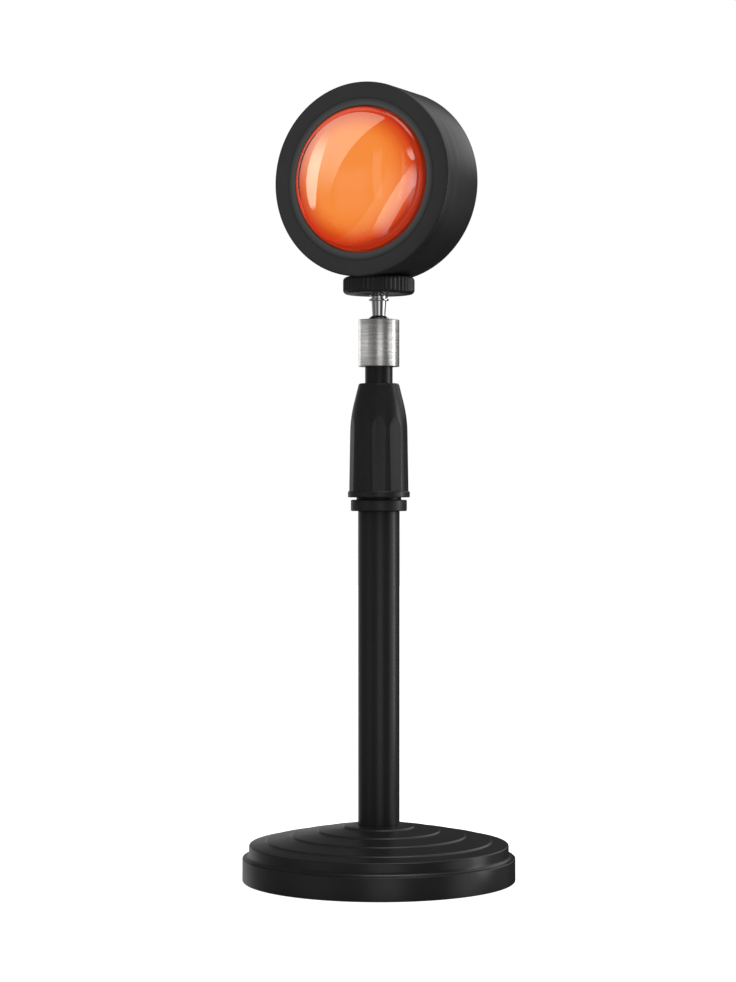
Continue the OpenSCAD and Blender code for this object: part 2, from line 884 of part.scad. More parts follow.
base_cover();
base_ballast();
base_plate();
base_plate_screws();
anti_slip_pad();
pole_bolt();
pole_washer();
pole_foot_plug();
outer_pole();
collet_body();
clamp_ferrule();
lock_grip();
guide_bush();
inner_pole();
pole_top_plug();
ball_housing();
ball_springs();
ball_seat();
ball_stud();
lock_nut();
nut_insert();
nut_washer();
lamp_barrel();
mount_insert();
lens_ring();
lens();
lens_gasket();
colour_filter();
reflector();
led_board();
led_chip();
board_parts();
lead_header();
led_screws();
thermal_pad();
rear_cover();
rear_screws();
cable_gland();
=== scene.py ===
"""Looks of a sunset projection lamp: pieces of revolution, knurls, flats, glass and finishes round a fixed frame."""

import math

import bmesh
import bpy
from bpy.props import FloatProperty, FloatVectorProperty, IntProperty, PointerProperty
from mathutils import Matrix, Vector


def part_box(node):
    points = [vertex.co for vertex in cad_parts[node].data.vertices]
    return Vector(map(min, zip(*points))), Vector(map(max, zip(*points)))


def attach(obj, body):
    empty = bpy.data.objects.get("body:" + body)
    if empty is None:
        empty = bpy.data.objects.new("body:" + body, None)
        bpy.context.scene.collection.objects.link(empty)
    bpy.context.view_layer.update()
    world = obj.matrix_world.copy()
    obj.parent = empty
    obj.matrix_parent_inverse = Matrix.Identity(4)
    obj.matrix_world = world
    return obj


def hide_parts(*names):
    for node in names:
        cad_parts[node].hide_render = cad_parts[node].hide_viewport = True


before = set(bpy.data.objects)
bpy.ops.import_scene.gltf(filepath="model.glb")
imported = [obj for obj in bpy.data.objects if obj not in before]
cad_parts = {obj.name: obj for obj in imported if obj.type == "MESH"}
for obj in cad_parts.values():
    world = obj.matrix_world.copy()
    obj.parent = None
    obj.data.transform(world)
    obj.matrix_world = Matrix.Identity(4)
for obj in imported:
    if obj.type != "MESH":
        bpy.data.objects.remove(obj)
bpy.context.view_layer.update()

bl_info = {
    "name": "Sunset projection lamp",
    "version": (1, 0, 0),
    "blender": (4, 5, 0),
    "location": "View3D > Sidebar > Lamp",
    "description": "Models and finishes the pieces of a sunset projection lamp",
    "category": "Object",
}

MM = 0.001
FULL_TURN = 2 * math.pi
MERGE_DISTANCE = 1e-7
# Edges that bend more than this stay sharp
SMOOTH_LIMIT = math.radians(24)
# Segments of a rounded corner
ROUND_STEPS = 4
# Clearances: of a part in its fixed seat, of parts that turn or slide, and of parts that pass without touching
FIT_GAP, RUN_GAP, FREE_GAP = 0.02 * MM, 0.05 * MM, 0.3 * MM
# The rear cover's screws: distance from the optical axis, radius of the head and radius of the shank
REAR_SCREW_AT, REAR_HEAD_R, REAR_SHANK_R = 27.2 * MM, 2.4 * MM, 1.25 * MM
# Radius of the thread on the ball stud, over its crests
THREAD_R = 3.1 * MM
# Angle of the first rear screw, at the top of the head
TOP_OF_HEAD = -math.pi / 2


# ---- places read from the frame ----


def low(node):
    """The lowest corner of a CAD node."""
    return Vector(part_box(node)[0])


def high(node):
    """The highest corner of a CAD node."""
    return Vector(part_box(node)[1])


def half_width(node):
    """Half of a CAD node's width along X, which is the radius of a round one."""
    return (high(node).x - low(node).x) / 2


def ends(node):
    """The heights of a CAD node's lower and upper end."""
    return low(node).z, high(node).z


def middle(node):
    """The height of a CAD node's middle."""
    return sum(ends(node)) / 2


HEAD_AXIS_Z = middle("lamp_barrel")
HEAD_FACE_Y = low("lamp_barrel").y
HEAD_PLACE = Matrix.Translation((0, HEAD_FACE_Y, HEAD_AXIS_Z)) @ Matrix.Rotation(-math.pi / 2, 4, "X")
BALL_CENTRE_Z = low("ball_stud").z + half_width("ball_stud")


def depth(y):
    """Distance behind the head's face of a place given in the frame."""
    return y - HEAD_FACE_Y


# ---- sizes and colours that a user would change ----


def length(name, description, default):
    """A length in metres, to a hundredth of a millimetre."""
    return FloatProperty(name=name, description=description, default=default, min=0.0, unit="LENGTH", precision=5)


def colour(name, description, default):
    """A colour of a finish."""
    return FloatVectorProperty(name=name, description=description, default=default, size=3, min=0.0, max=1.0,
                               subtype="COLOR")


class LampSizes(bpy.types.PropertyGroup):
    """Sizes of the visible pieces."""

    base_radius: length("Base radius", "Radius over the rim", half_width("base_cover"))
    rim_height: length("Rim height", "Height of the rim's top face", 8.0 * MM)
    ledge_width: length("Ledge", "Width of the ledge inside the rim", 2.25 * MM)
    shoulder_height: length("Shoulder", "Height of the shoulder above the rim", 4.3 * MM)
    crown_slope: FloatProperty(name="Crown slope", description="Rise of the crown towards the pole", default=0.12)
    crown_arch: length("Crown arch", "How far the crown arches above a straight cone", 0.35 * MM)
    step_count: IntProperty(name="Steps", description="Number of fine round steps on the crown", default=4)
    step_inset: length("First step", "Distance of the first step from the shoulder", 5.8 * MM)
    step_pitch: length("Step pitch", "Distance from one step to the next", 8.75 * MM)
    step_rise: length("Step rise", "Rise of each step", 0.57 * MM)
    cover_wall: length("Cover wall", "Wall of the base cover", 1.8 * MM)
    pole_wall: length("Pole wall", "Wall of the outer pole", 0.8 * MM)
    inner_radius: length("Inner pole radius", "Radius of the inner pole", half_width("inner_pole"))
    inner_wall: length("Inner pole wall", "Wall of the inner pole", 0.775 * MM)
    neck_radius: length("Neck radius", "Radius of the twist lock's neck", 7.6 * MM)
    neck_length: length("Neck length", "Length of the threaded neck", 20 * MM)
    ring_height: length("Fixed ring", "Height of the fixed ring under the grip", 3.8 * MM)
    grip_low_radius: length("Grip foot radius", "Radius of the grip above its flange", 10.08 * MM)
    grip_mid_radius: length("Grip waist radius", "Radius of the grip where it starts to taper", 9.72 * MM)
    flange_height: length("Grip flange", "Height of the grip's bottom flange", 2.1 * MM)
    taper_start: length("Taper start", "Height of the taper's start above the grip's foot", 22.2 * MM)
    taper_bend: length("Taper bend", "Height over which the taper bends in", 10 * MM)
    taper_slope: FloatProperty(name="Taper slope", description="How fast the grip's cone draws in", default=0.25)
    flat_count: IntProperty(name="Finger flats", description="Number of flats round the grip", default=10)
    flat_depth: length("Flat depth", "Depth of each finger flat", 0.24 * MM)
    knurl_count: IntProperty(name="Knurl", description="Number of grooves round the lock nut", default=48)
    knurl_depth: length("Knurl depth", "Depth of the lock nut's grooves", 0.3 * MM)
    nut_round: length("Nut rounding", "Rounding of the lock nut's edges", 1.35 * MM)
    thread_pitch: length("Thread pitch", "Pitch of the stud's thread", 1.27 * MM)
    barrel_wall: length("Barrel wall", "Side wall of the lamp barrel", 2.2 * MM)
    lens_radius: length("Lens radius", "Radius of the lens at the face", 24.1 * MM)
    lens_dome_radius: length("Dome radius", "Radius of the lens's front sphere", 50 * MM)
    lens_flank: length("Lens flank", "Width of the lens's rounded flank", 2.1 * MM)
    lens_flank_height: length("Flank height", "Height of the lens's rounded flank", 1.9 * MM)
    groove_count: IntProperty(name="Cooling grooves", description="Number of grooves in the rear cover", default=5)
    groove_width: length("Groove width", "Width of each cooling groove", 2 * MM)
    groove_pitch: length("Groove pitch", "Distance from one groove to the next", 3.6 * MM)
    groove_depth: length("Groove depth", "Depth of each cooling groove", 2.2 * MM)


class LampColours(bpy.types.PropertyGroup):
    """Colours of the finishes."""

    paint: colour("Black paint", "Powder coat of the base and the poles", (0.0145, 0.0145, 0.015))
    plastic: colour("Black plastic", "Grip, fixed ring and lock nut", (0.0155, 0.0155, 0.016))
    anodised: colour("Black anodising", "Barrel and rear cover", (0.021, 0.021, 0.0217))
    # Painted light: the lens ring's pale colour is a glow painted next to the lens.
    lens_ring: colour("Lens ring", "Retaining ring, next to the lens", (0.088, 0.098, 0.095))
    steel: colour("Turned steel", "Housing of the ball joint", (0.78, 0.77, 0.76))
    chrome: colour("Chrome", "Ball stud", (0.80, 0.80, 0.81))
    glow_centre: colour("Glow centre", "Light in the middle of the filter", (0.945, 0.258, 0.026))
    glow_rim: colour("Glow rim", "Light at the edge of the filter", (0.90, 0.20, 0.020))
    edge_glow: colour("Edge glow", "Light that the glass pipes to its flank", (0.19, 0.013, 0.002))
    # Painted shade: this deep red in the glass's tint at its flank stands in for light and shade, not for a stain in
    # the glass.
    painted_edge_shade: colour("Edge stain", "Deep red of the glass at its flank", (0.10, 0.014, 0.02))


# Pieces that have softboxes of their own
HEAD, LENS, HOUSING = "head_pieces", "lens_piece", "housing_pieces"


# ---- modelling helpers ----


def finished(name, bm, sharp=SMOOTH_LIMIT):
    """Turns a bmesh into a smooth-shaded object whose edges above the limit stay sharp."""
    bmesh.ops.remove_doubles(bm, verts=bm.verts, dist=MERGE_DISTANCE)
    bmesh.ops.recalc_face_normals(bm, faces=bm.faces)
    mesh = bpy.data.meshes.new(name)
    bm.to_mesh(mesh)
    bm.free()
    mesh.shade_smooth()
    mesh.set_sharp_from_angle(angle=sharp)
    piece = bpy.data.objects.new(name, mesh)
    bpy.context.scene.collection.objects.link(piece)
    return piece


def turned(profile, segments=160, closed=True):
    """A body of revolution about Z. Profile points are (radius, height, rounding of that corner)."""
    bm = bmesh.new()
    verts = [bm.verts.new((r, 0, z)) for r, z, _ in profile]
    nexts = verts[1:] + verts[:1] if closed else verts[1:]
    for a, b in zip(verts, nexts):
        bm.edges.new((a, b))
    by_rounding = {}
    for vert, (_, _, rounding) in zip(verts, profile):
        if rounding > 0:
            by_rounding.setdefault(rounding, []).append(vert)
    for rounding, corners in by_rounding.items():
        bmesh.ops.bevel(bm, geom=corners, offset=rounding, offset_type="OFFSET", segments=ROUND_STEPS,
                        profile=0.5, affect="VERTICES", material=-1, clamp_overlap=True)
    bmesh.ops.spin(bm, geom=bm.verts[:] + bm.edges[:], cent=(0, 0, 0), axis=(0, 0, 1),
                   angle=FULL_TURN, steps=segments, use_merge=True, use_duplicate=False)
    bmesh.ops.remove_doubles(bm, verts=bm.verts, dist=MERGE_DISTANCE)
    bmesh.ops.recalc_face_normals(bm, faces=bm.faces)
    return bm


def joined(bm, extra):
    """Adds a second bmesh to the first."""
    mesh = bpy.data.meshes.new("joined")
    extra.to_mesh(mesh)
    extra.free()
    bm.from_mesh(mesh)
    bpy.data.meshes.remove(mesh)


def moved(bm, matrix):
    """Applies a place to the whole bmesh."""
    bmesh.ops.transform(bm, matrix=matrix, verts=bm.verts)
    return bm


def rod(radius, start, end):
    """A plain round rod between two heights."""
    bm = bmesh.new()
    bmesh.ops.create_cone(bm, cap_ends=True, segments=32, radius1=radius, radius2=radius, depth=end - start)
    return moved(bm, Matrix.Translation((0, 0, (start + end) / 2)))


def thirds(first, reach):
    """Three places round Z at a distance from it, the first one at an angle from X."""
    return [Matrix.Rotation(first + index * FULL_TURN / 3, 4, "Z") @ Matrix.Translation((reach, 0, 0))
            for index in range(3)]


def cut(piece, cutter_name, cutter_shape):
    """Takes a cutter's volume out of a piece and throws the cutter away."""
    cutter = finished(cutter_name, cutter_shape)
    modifier = piece.modifiers.new("cut", "BOOLEAN")
    modifier.operation = "DIFFERENCE"
    modifier.solver = "EXACT"
    modifier.object = cutter
    evaluated = piece.evaluated_get(bpy.context.evaluated_depsgraph_get())
    mesh = bpy.data.meshes.new_from_object(evaluated)
    piece.modifiers.clear()
    piece.data = mesh
    mesh.shade_smooth()
    mesh.set_sharp_from_angle(angle=SMOOTH_LIMIT)
    bpy.data.objects.remove(cutter)


def box_shape(size, place):
    """A cuboid of a size, centred on a place."""
    bm = bmesh.new()
    bmesh.ops.create_cube(bm, size=1.0)
    return moved(bm, Matrix.Translation(place) @ Matrix.Diagonal((*size, 1.0)))


def lit_by(name):
    """The collection of the pieces that one group of softboxes lights."""
    return bpy.data.collections.get(name) or bpy.data.collections.new(name)


def dressed(piece, material, body, node):
    """Gives a piece its finish, its body and the CAD node that it stands for."""
    piece.data.materials.clear()
    piece.data.materials.append(material)
    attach(piece, body)
    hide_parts(node)


def refinished(node, material):
    """Gives a CAD piece that stays in the scene its finish."""
    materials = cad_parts[node].data.materials
    materials.clear()
    materials.append(material)


# ---- finishes ----


class NodeTree:
    """Short ways to build the nodes of a material, a light or the world."""

    def __init__(self, tree):
        self.nodes, self.links = tree.nodes, tree.links

    def node(self, kind, sockets=None, **settings):
        """A node with its settings, and with values or links plugged into its sockets."""
        node = self.nodes.new("ShaderNode" + kind)
        for setting, value in settings.items():
            setattr(node, setting, value)
        self.plug(node, sockets or {})
        return node

    def plug(self, node, sockets):
        """Feeds sockets of a node from other sockets or with plain values."""
        for socket, value in sockets.items():
            if isinstance(value, bpy.types.NodeSocket):
                self.links.new(value, node.inputs[socket])
            else:
                node.inputs[socket].default_value = value

    def maths(self, operation, first, second):
        """A sum, product or other operation of two values or sockets."""
        return self.node("Math", {0: first, 1: second}, operation=operation).outputs["Value"]

    def ramp(self, factor, stops, interpolation="LINEAR"):
        """Colours or greys along a factor, as (position, colour) stops."""
        node = self.node("ValToRGB", {"Fac": factor})
        node.color_ramp.interpolation = interpolation
        elements = node.color_ramp.elements
        while len(elements) < len(stops):
            elements.new(0.5)
        for element, (position, value) in zip(elements, stops):
            element.position = position
            element.color = (*value, 1.0) if isinstance(value, (tuple, list)) else (value, value, value, 1.0)
        return node.outputs["Color"]

    def smooth_step(self, value, start, end, lowest=0.0):
        """A soft step up to 1 between two values."""
        return self.node("MapRange", {"Value": value, "From Min": start, "From Max": end, "To Min": lowest},
                         interpolation_type="SMOOTHSTEP").outputs["Result"]

    def mix(self, factor, first, second):
        """A blend of two colours."""
        return self.node("Mix", {"Factor": factor, "A": first, "B": second}, data_type="RGBA").outputs["Result"]


class Finish(NodeTree):
    """One node material, built up step by step on Object coordinates."""

    def __init__(self, name, base_colour, roughness, metallic=0.0, **sockets):
        self.material = bpy.data.materials.new(name)
        self.material.use_nodes = True
        super().__init__(self.material.node_tree)
        self.shader, self.base_colour = self.nodes["Principled BSDF"], base_colour
        self.plug(self.shader, {"Base Color": (*base_colour, 1.0), "Roughness": roughness, "Metallic": metallic})
        self.plug(self.shader, {socket.replace("_", " "): value for socket, value in sockets.items()})
        self.coordinates = self.node("TexCoord").outputs["Object"]
        self.normal = None

    def mapped(self, offset=(0, 0, 0), scale=(1, 1, 1)):
        """Object coordinates moved and stretched."""
        return self.node("Mapping", {"Location": offset, "Scale": scale, "Vector": self.coordinates}).outputs["Vector"]

    def noise(self, scale, detail=2.0, vector=None):
        """A noise pattern of the given fineness."""
        return self.node("TexNoise", {"Scale": scale, "Detail": detail,
                                      "Vector": vector or self.coordinates}).outputs["Fac"]

    def reach(self, offset=(0, 0)):
        """Distance from the head's optical axis, or from a line beside it."""
        place = self.mapped((offset[0], 0, offset[1] - HEAD_AXIS_Z), (1, 0, 1))
        return self.node("VectorMath", {0: place}, operation="LENGTH").outputs["Value"]

    def vary(self, socket, factor, first, second, start=0.3, end=0.7):
        """Lets a socket run between two values or colours along a factor."""
        self.plug(self.shader, {socket: self.ramp(factor, ((start, first), (end, second)))})

    def tone(self, factor, darker, lighter, start=0.3, end=0.7):
        """Lets the base colour run from a darker to a lighter shade along a factor."""
        self.vary("Base Color", factor, scaled(self.base_colour, darker), scaled(self.base_colour, lighter),
                  start, end)

    def bump(self, height, distance, strength=1.0):
        """Adds relief; each call adds to the one before. Returns the material."""
        relief = self.node("Bump", {"Strength": strength, "Distance": distance, "Height": height})
        if self.normal:
            self.plug(relief, {"Normal": self.normal})
        self.normal = relief.outputs["Normal"]
        self.plug(self.shader, {"Normal": self.normal})
        return self.material


def scaled(base_colour, factor):
    """A colour made lighter or darker."""
    return tuple(min(1.0, value * factor) for value in base_colour)


def powder_coat(name, base_colour):
    """Fine satin powder coat with a slight orange peel."""
    finish = Finish(name, base_colour, 0.3, Specular_IOR_Level=0.42)
    finish.tone(finish.noise(90, 2), 0.94, 1.06)
    finish.vary("Roughness", finish.noise(260, 2), 0.28, 0.32)
    finish.bump(finish.noise(900, 2), 0.004 * MM, 0.4)
    return finish.bump(finish.noise(4200, 2), 0.0015 * MM, 0.4)


def moulded(name, base_colour, roughness=0.36):
    """Moulded plastic with a fine even grain."""
    finish = Finish(name, base_colour, roughness, Specular_IOR_Level=0.42)
    finish.tone(finish.noise(240, 3), 0.92, 1.08)
    finish.vary("Roughness", finish.noise(600, 3), roughness - 0.03, roughness + 0.03)
    return finish.bump(finish.noise(5200, 3), 0.003 * MM, 0.5)


def turned_metal(name, base_colour, roughness, metallic, stretch, fineness, relief):
    """Metal with fine lathe lines; stretch is large along the axis that the lines cross."""
    finish = Finish(name, base_colour, roughness, metallic, Specular_IOR_Level=0.42)
    stretched = finish.mapped(scale=stretch)
    lines = finish.noise(1000 * fineness, 3, stretched)
    bands = finish.noise(160 * fineness, 2, stretched)
    finish.tone(finish.noise(90, 4), 0.88, 1.12)
    finish.vary("Roughness", bands, roughness - 0.06, roughness + 0.08)
    finish.bump(bands, 0.6 * relief, 0.6)
    return finish.bump(lines, relief, 0.8)


def plain_metal(name, base_colour, roughness):
    """Plated or cast metal with a lightly mottled face."""
    finish = Finish(name, base_colour, roughness, 1.0)
    finish.tone(finish.noise(300, 5), 0.82, 1.1)
    finish.vary("Roughness", finish.noise(700, 4), max(0.02, roughness - 0.07), roughness + 0.1)
    return finish.bump(finish.noise(2400, 3), 0.006 * MM, 0.5)


def cast_iron(name):
    """Rough grey casting."""
    finish = Finish(name, (0.09, 0.088, 0.085), 0.7, 0.8)
    finish.vary("Base Color", finish.noise(500, 6), (0.05, 0.05, 0.05), (0.14, 0.135, 0.13))
    return finish.bump(finish.noise(700, 5), 0.15 * MM)


def soft_matt(name, base_colour, roughness=0.75, grain=1600):
    """Rubber, nylon or coated board with a matt grain."""
    finish = Finish(name, base_colour, roughness, Specular_IOR_Level=0.35)
    finish.tone(finish.noise(350, 4), 0.8, 1.2)
    finish.vary("Roughness", finish.noise(800, 3), roughness - 0.08, min(1.0, roughness + 0.1))
    return finish.bump(finish.noise(grain, 3), 0.03 * MM, 0.6)


def polished_chrome(name, base_colour):
    """Bright chrome with the faintest wipe marks."""
    finish = Finish(name, base_colour, 0.07, 1.0)
    marks = finish.noise(260, 4, finish.mapped(scale=(1, 1, 5)))
    finish.vary("Roughness", marks, 0.05, 0.11)
    return finish.bump(finish.noise(1800, 2), 0.001 * MM, 0.4)


def lens_glass(name, colours, radius, coat):
    """Thick optical glass, clear in the middle, with painted shade and painted light at its flank: a deep red tint,
    off-centre so the lower right darkens first, and a painted glow.
    """
    finish = Finish(name, (1.0, 0.95, 0.9), 0.0, Transmission_Weight=1.0, IOR=1.52, Coat_Weight=coat,
                    Coat_Roughness=0.01, Coat_IOR=1.9, Emission_Strength=1.0)
    way_out = finish.maths("DIVIDE", finish.reach((1.6 * MM, -1.0 * MM)), radius)
    # Painted shade: the tint darkens and reddens the glass towards its flank, from a centre set off to the upper left,
    # so the lower right is darker.
    painted_rim_shade = finish.ramp(finish.maths("ADD", way_out, finish.maths("MULTIPLY", finish.noise(60, 3), 0.02)), (
        (0.0, (1.0, 1.0, 1.0)),
        (0.60, (1.0, 0.96, 0.92)),
        (0.70, (0.95, 0.75, 0.62)),
        (0.80, (0.84, 0.46, 0.32)),
        (0.88, (0.70, 0.22, 0.13)),
        (0.94, (0.40, 0.08, 0.06)),
        (0.98, tuple(colours.painted_edge_shade)),
    ))
    # Painted light: the flank glows by its own emission.
    painted_flank_glow = finish.ramp(way_out, ((0.86, 0.0), (0.95, tuple(colours.edge_glow)), (1.0, tuple(colours.edge_glow))))
    finish.plug(finish.shader, {"Base Color": painted_rim_shade, "Emission Color": painted_flank_glow})
    return finish.material


def filter_glow(colours, radius):
    """Colour filter lit from behind: orange in the middle, redder at the rim."""
    finish = Finish("filter_glow", (0.02, 0.004, 0.002), 0.25, Emission_Strength=FILTER_GLOW)
    way_out = finish.maths("DIVIDE", finish.reach(), radius)
    cloud = finish.maths("MULTIPLY", finish.noise(70, 3), 0.05)
    shade = finish.ramp(finish.maths("ADD", way_out, cloud), (
        (0.0, tuple(colours.glow_centre)),
        (0.7, tuple(colours.glow_centre)),
        (1.0, tuple(colours.glow_rim)),
    ))
    finish.plug(finish.shader, {"Emission Color": shade})
    return finish.bump(finish.noise(900, 2), 0.004 * MM, 0.3)


def ring_with_painted_glow(colours, inner, outer):
    """Anodised ring with painted light: paler next to the glowing lens and fading into the face's darker tone."""
    finish = Finish("lens_ring_painted_glow", colours.lens_ring, 0.36, Specular_IOR_Level=0.42)
    way_out = finish.maths("DIVIDE", finish.maths("SUBTRACT", finish.reach(), inner), outer - inner)
    # Painted light: the base colour runs from the pale ring colour at the lens to a dark anodised tone at the outer
    # edge.
    finish.vary("Base Color", way_out, tuple(colours.lens_ring), scaled(colours.anodised, 0.8), 0.0, 1.0)
    round_it = finish.mapped(scale=(0.03, 1, 0.03))
    finish.vary("Roughness", finish.noise(420, 2, round_it), 0.32, 0.42)
    return finish.bump(finish.noise(2600, 3, round_it), 0.004 * MM, 0.8)


def lathe_steel(base_colour):
    """Bright turned steel with short broken tool marks round it."""
    finish = Finish("turned_steel", base_colour, 0.27, 0.88, Specular_IOR_Level=0.5)
    marks = finish.noise(1500, 3, finish.mapped(scale=(0.06, 0.06, 1)))
    scores = finish.noise(3600, 2, finish.mapped((3, 5, 0), (0.05, 0.05, 1)))
    finish.tone(marks, 0.84, 1.08, 0.34, 0.6)
    finish.vary("Roughness", scores, 0.21, 0.34)
    finish.bump(scores, 0.006 * MM, 0.6)
    return finish.bump(marks, 0.02 * MM, 0.8)


# ---- operators, one for each piece or group of like pieces ----


class Maker:
    """Hands the scene's sizes and colours to an operator that makes pieces."""

    def execute(self, context):
        """Makes the operator's pieces."""
        self.make(context.scene.lamp_sizes, context.scene.lamp_colours)
        return {"FINISHED"}


class LAMP_OT_base_cover(Maker, bpy.types.Operator):
    """Base cover: rim, ledge, raised shoulder and a crown with fine round steps"""

    bl_idname = "lamp.base_cover"
    bl_label = "Base cover"

    def make(self, sizes, colours):
        """Spins the cover's wall and stands the screw posts in it."""
        shoulder_r = sizes.base_radius - sizes.ledge_width
        shoulder_z = sizes.rim_height + sizes.shoulder_height
        foot, top = ends("base_cover")
        outer_pole_r = half_width("outer_pole")
        bore_r = outer_pole_r + FIT_GAP
        step_w, hub_wall, post_r, screw_head_r = 0.6 * MM, 3 * MM, 3.1 * MM, 2.7 * MM
        outside = [
            (sizes.base_radius, foot, 0.25 * MM),
            (sizes.base_radius, sizes.rim_height, 0.35 * MM),
            (shoulder_r, sizes.rim_height, 1.5 * MM),
            (shoulder_r, shoulder_z, 0.5 * MM),
        ]
        for step in range(sizes.step_count):
            way_in = sizes.step_inset + step * sizes.step_pitch
            share = way_in / (shoulder_r - outer_pole_r)
            height = (shoulder_z + way_in * sizes.crown_slope + step * sizes.step_rise
                      + 4 * sizes.crown_arch * share * (1 - share))
            outside.append((shoulder_r - way_in + step_w / 2, height, 0.25 * MM))
            outside.append((shoulder_r - way_in - step_w / 2, height + sizes.step_rise, 0.3 * MM))
        outside.append((bore_r, top, 0.1 * MM))
        wall = sizes.cover_wall
        hub_r, hub_z = outer_pole_r + hub_wall, high("base_ballast").z
        inside = [
            (bore_r, hub_z, 0),
            (hub_r, hub_z, 0),
            (hub_r, top - wall - hub_wall * sizes.crown_slope, 0),
            (shoulder_r - wall, shoulder_z - wall, 0),
            (shoulder_r - wall, sizes.rim_height - wall, 0),
            (sizes.base_radius - wall, sizes.rim_height - wall, 0),
            (sizes.base_radius - wall, foot, 0.2 * MM),
        ]
        bm = turned(outside + inside, 256)
        for place in thirds(math.pi / 2, high("base_plate_screws").y - screw_head_r):
            joined(bm, moved(rod(post_r, high("base_plate").z, shoulder_z - wall / 2), place))
        piece = finished("base_cover_shell", bm)
        dressed(piece, powder_coat("black_powder_coat", colours.paint), "stand", "base_cover")


class LAMP_OT_anti_slip_pad(Maker, bpy.types.Operator):
    """Anti-slip pad under the base"""

    bl_idname = "lamp.anti_slip_pad"
    bl_label = "Anti-slip pad"

    def make(self, sizes, colours):
        """Spins the pad with shallow rings pressed into its underside."""
        radius = half_width("anti_slip_pad")
        top = high("anti_slip_pad").z
        ring_depth, ring_w = 0.25 * MM, 1.2 * MM
        profile = [(0, top, 0), (radius, top, 0.1 * MM), (radius, 0, 0.3 * MM)]
        for share in (0.88, 0.62, 0.36):
            ring = radius * share
            profile += [(ring + ring_w, 0, 0), (ring + ring_w / 2, ring_depth, 0),
                        (ring - ring_w / 2, ring_depth, 0), (ring - ring_w, 0, 0)]
        profile.append((0, 0, 0))
        piece = finished("anti_slip_pad_rubber", turned(profile, 160))
        dressed(piece, soft_matt("pad_rubber", (0.010, 0.010, 0.011), 0.85, 1100), "stand",
                "anti_slip_pad")


class LAMP_OT_poles(Maker, bpy.types.Operator):
    """Outer and inner pole"""

    bl_idname = "lamp.poles"
    bl_label = "Poles"

    def make(self, sizes, colours):
        """Spins both tubes with softly broken ends."""
        finish = powder_coat("pole_powder_coat", colours.paint)
        for node, body, radius, wall, top_edge, segments in (
                ("outer_pole", "stand", half_width("outer_pole"), sizes.pole_wall, 0.15 * MM, 128),
                ("inner_pole", "upper", sizes.inner_radius, sizes.inner_wall, 0.1 * MM, 96)):
            foot, top = ends(node)
            tube = finished(node + "_tube", turned([
                (radius, foot, 0.1 * MM), (radius, top, top_edge),
                (radius - wall, top, 0.1 * MM), (radius - wall, foot, 0.1 * MM)], segments))
            dressed(tube, finish, body, node)


class LAMP_OT_collet(Maker, bpy.types.Operator):
    """Fixed ring, neck (threaded on the real lock, left plain here) and split jaws of the twist lock"""

    bl_idname = "lamp.collet"
    bl_label = "Collet"

    def make(self, sizes, colours):
        """Spins the collet and saws the jaws' slots."""
        bore = sizes.inner_radius + RUN_GAP
        plug_r = half_width("outer_pole") - sizes.pole_wall - FIT_GAP
        ring_r = half_width("collet_body")
        foot, top = ends("collet_body")
        pole_top = high("outer_pole").z
        ring_top = pole_top + sizes.ring_height
        neck_r, neck_top = sizes.neck_radius, ring_top + sizes.neck_length
        jaw_r, draft, slot_w = neck_r - 0.9 * MM, 0.6 * MM, 0.8 * MM
        piece = finished("collet_body_moulding", turned([
            (bore, foot, 0), (plug_r, foot, 0.3 * MM), (plug_r, pole_top, 0),
            (ring_r, pole_top, 0.35 * MM), (ring_r, ring_top, 0.35 * MM), (neck_r, ring_top, 0.15 * MM),
            (neck_r, neck_top, 0.2 * MM), (jaw_r, neck_top, 0.1 * MM),
            (jaw_r - draft, top, 0.2 * MM), (bore, top, 0)], 144))
        slot_foot = neck_top - 2 * MM
        slot_h = top - slot_foot + 2 * MM
        for size in ((3 * neck_r, slot_w, slot_h), (slot_w, 3 * neck_r, slot_h)):
            cut(piece, "slot_cutter", box_shape(size, (0, 0, slot_foot + slot_h / 2)))
        dressed(piece, moulded("collet_plastic", colours.plastic), "stand", "collet_body")


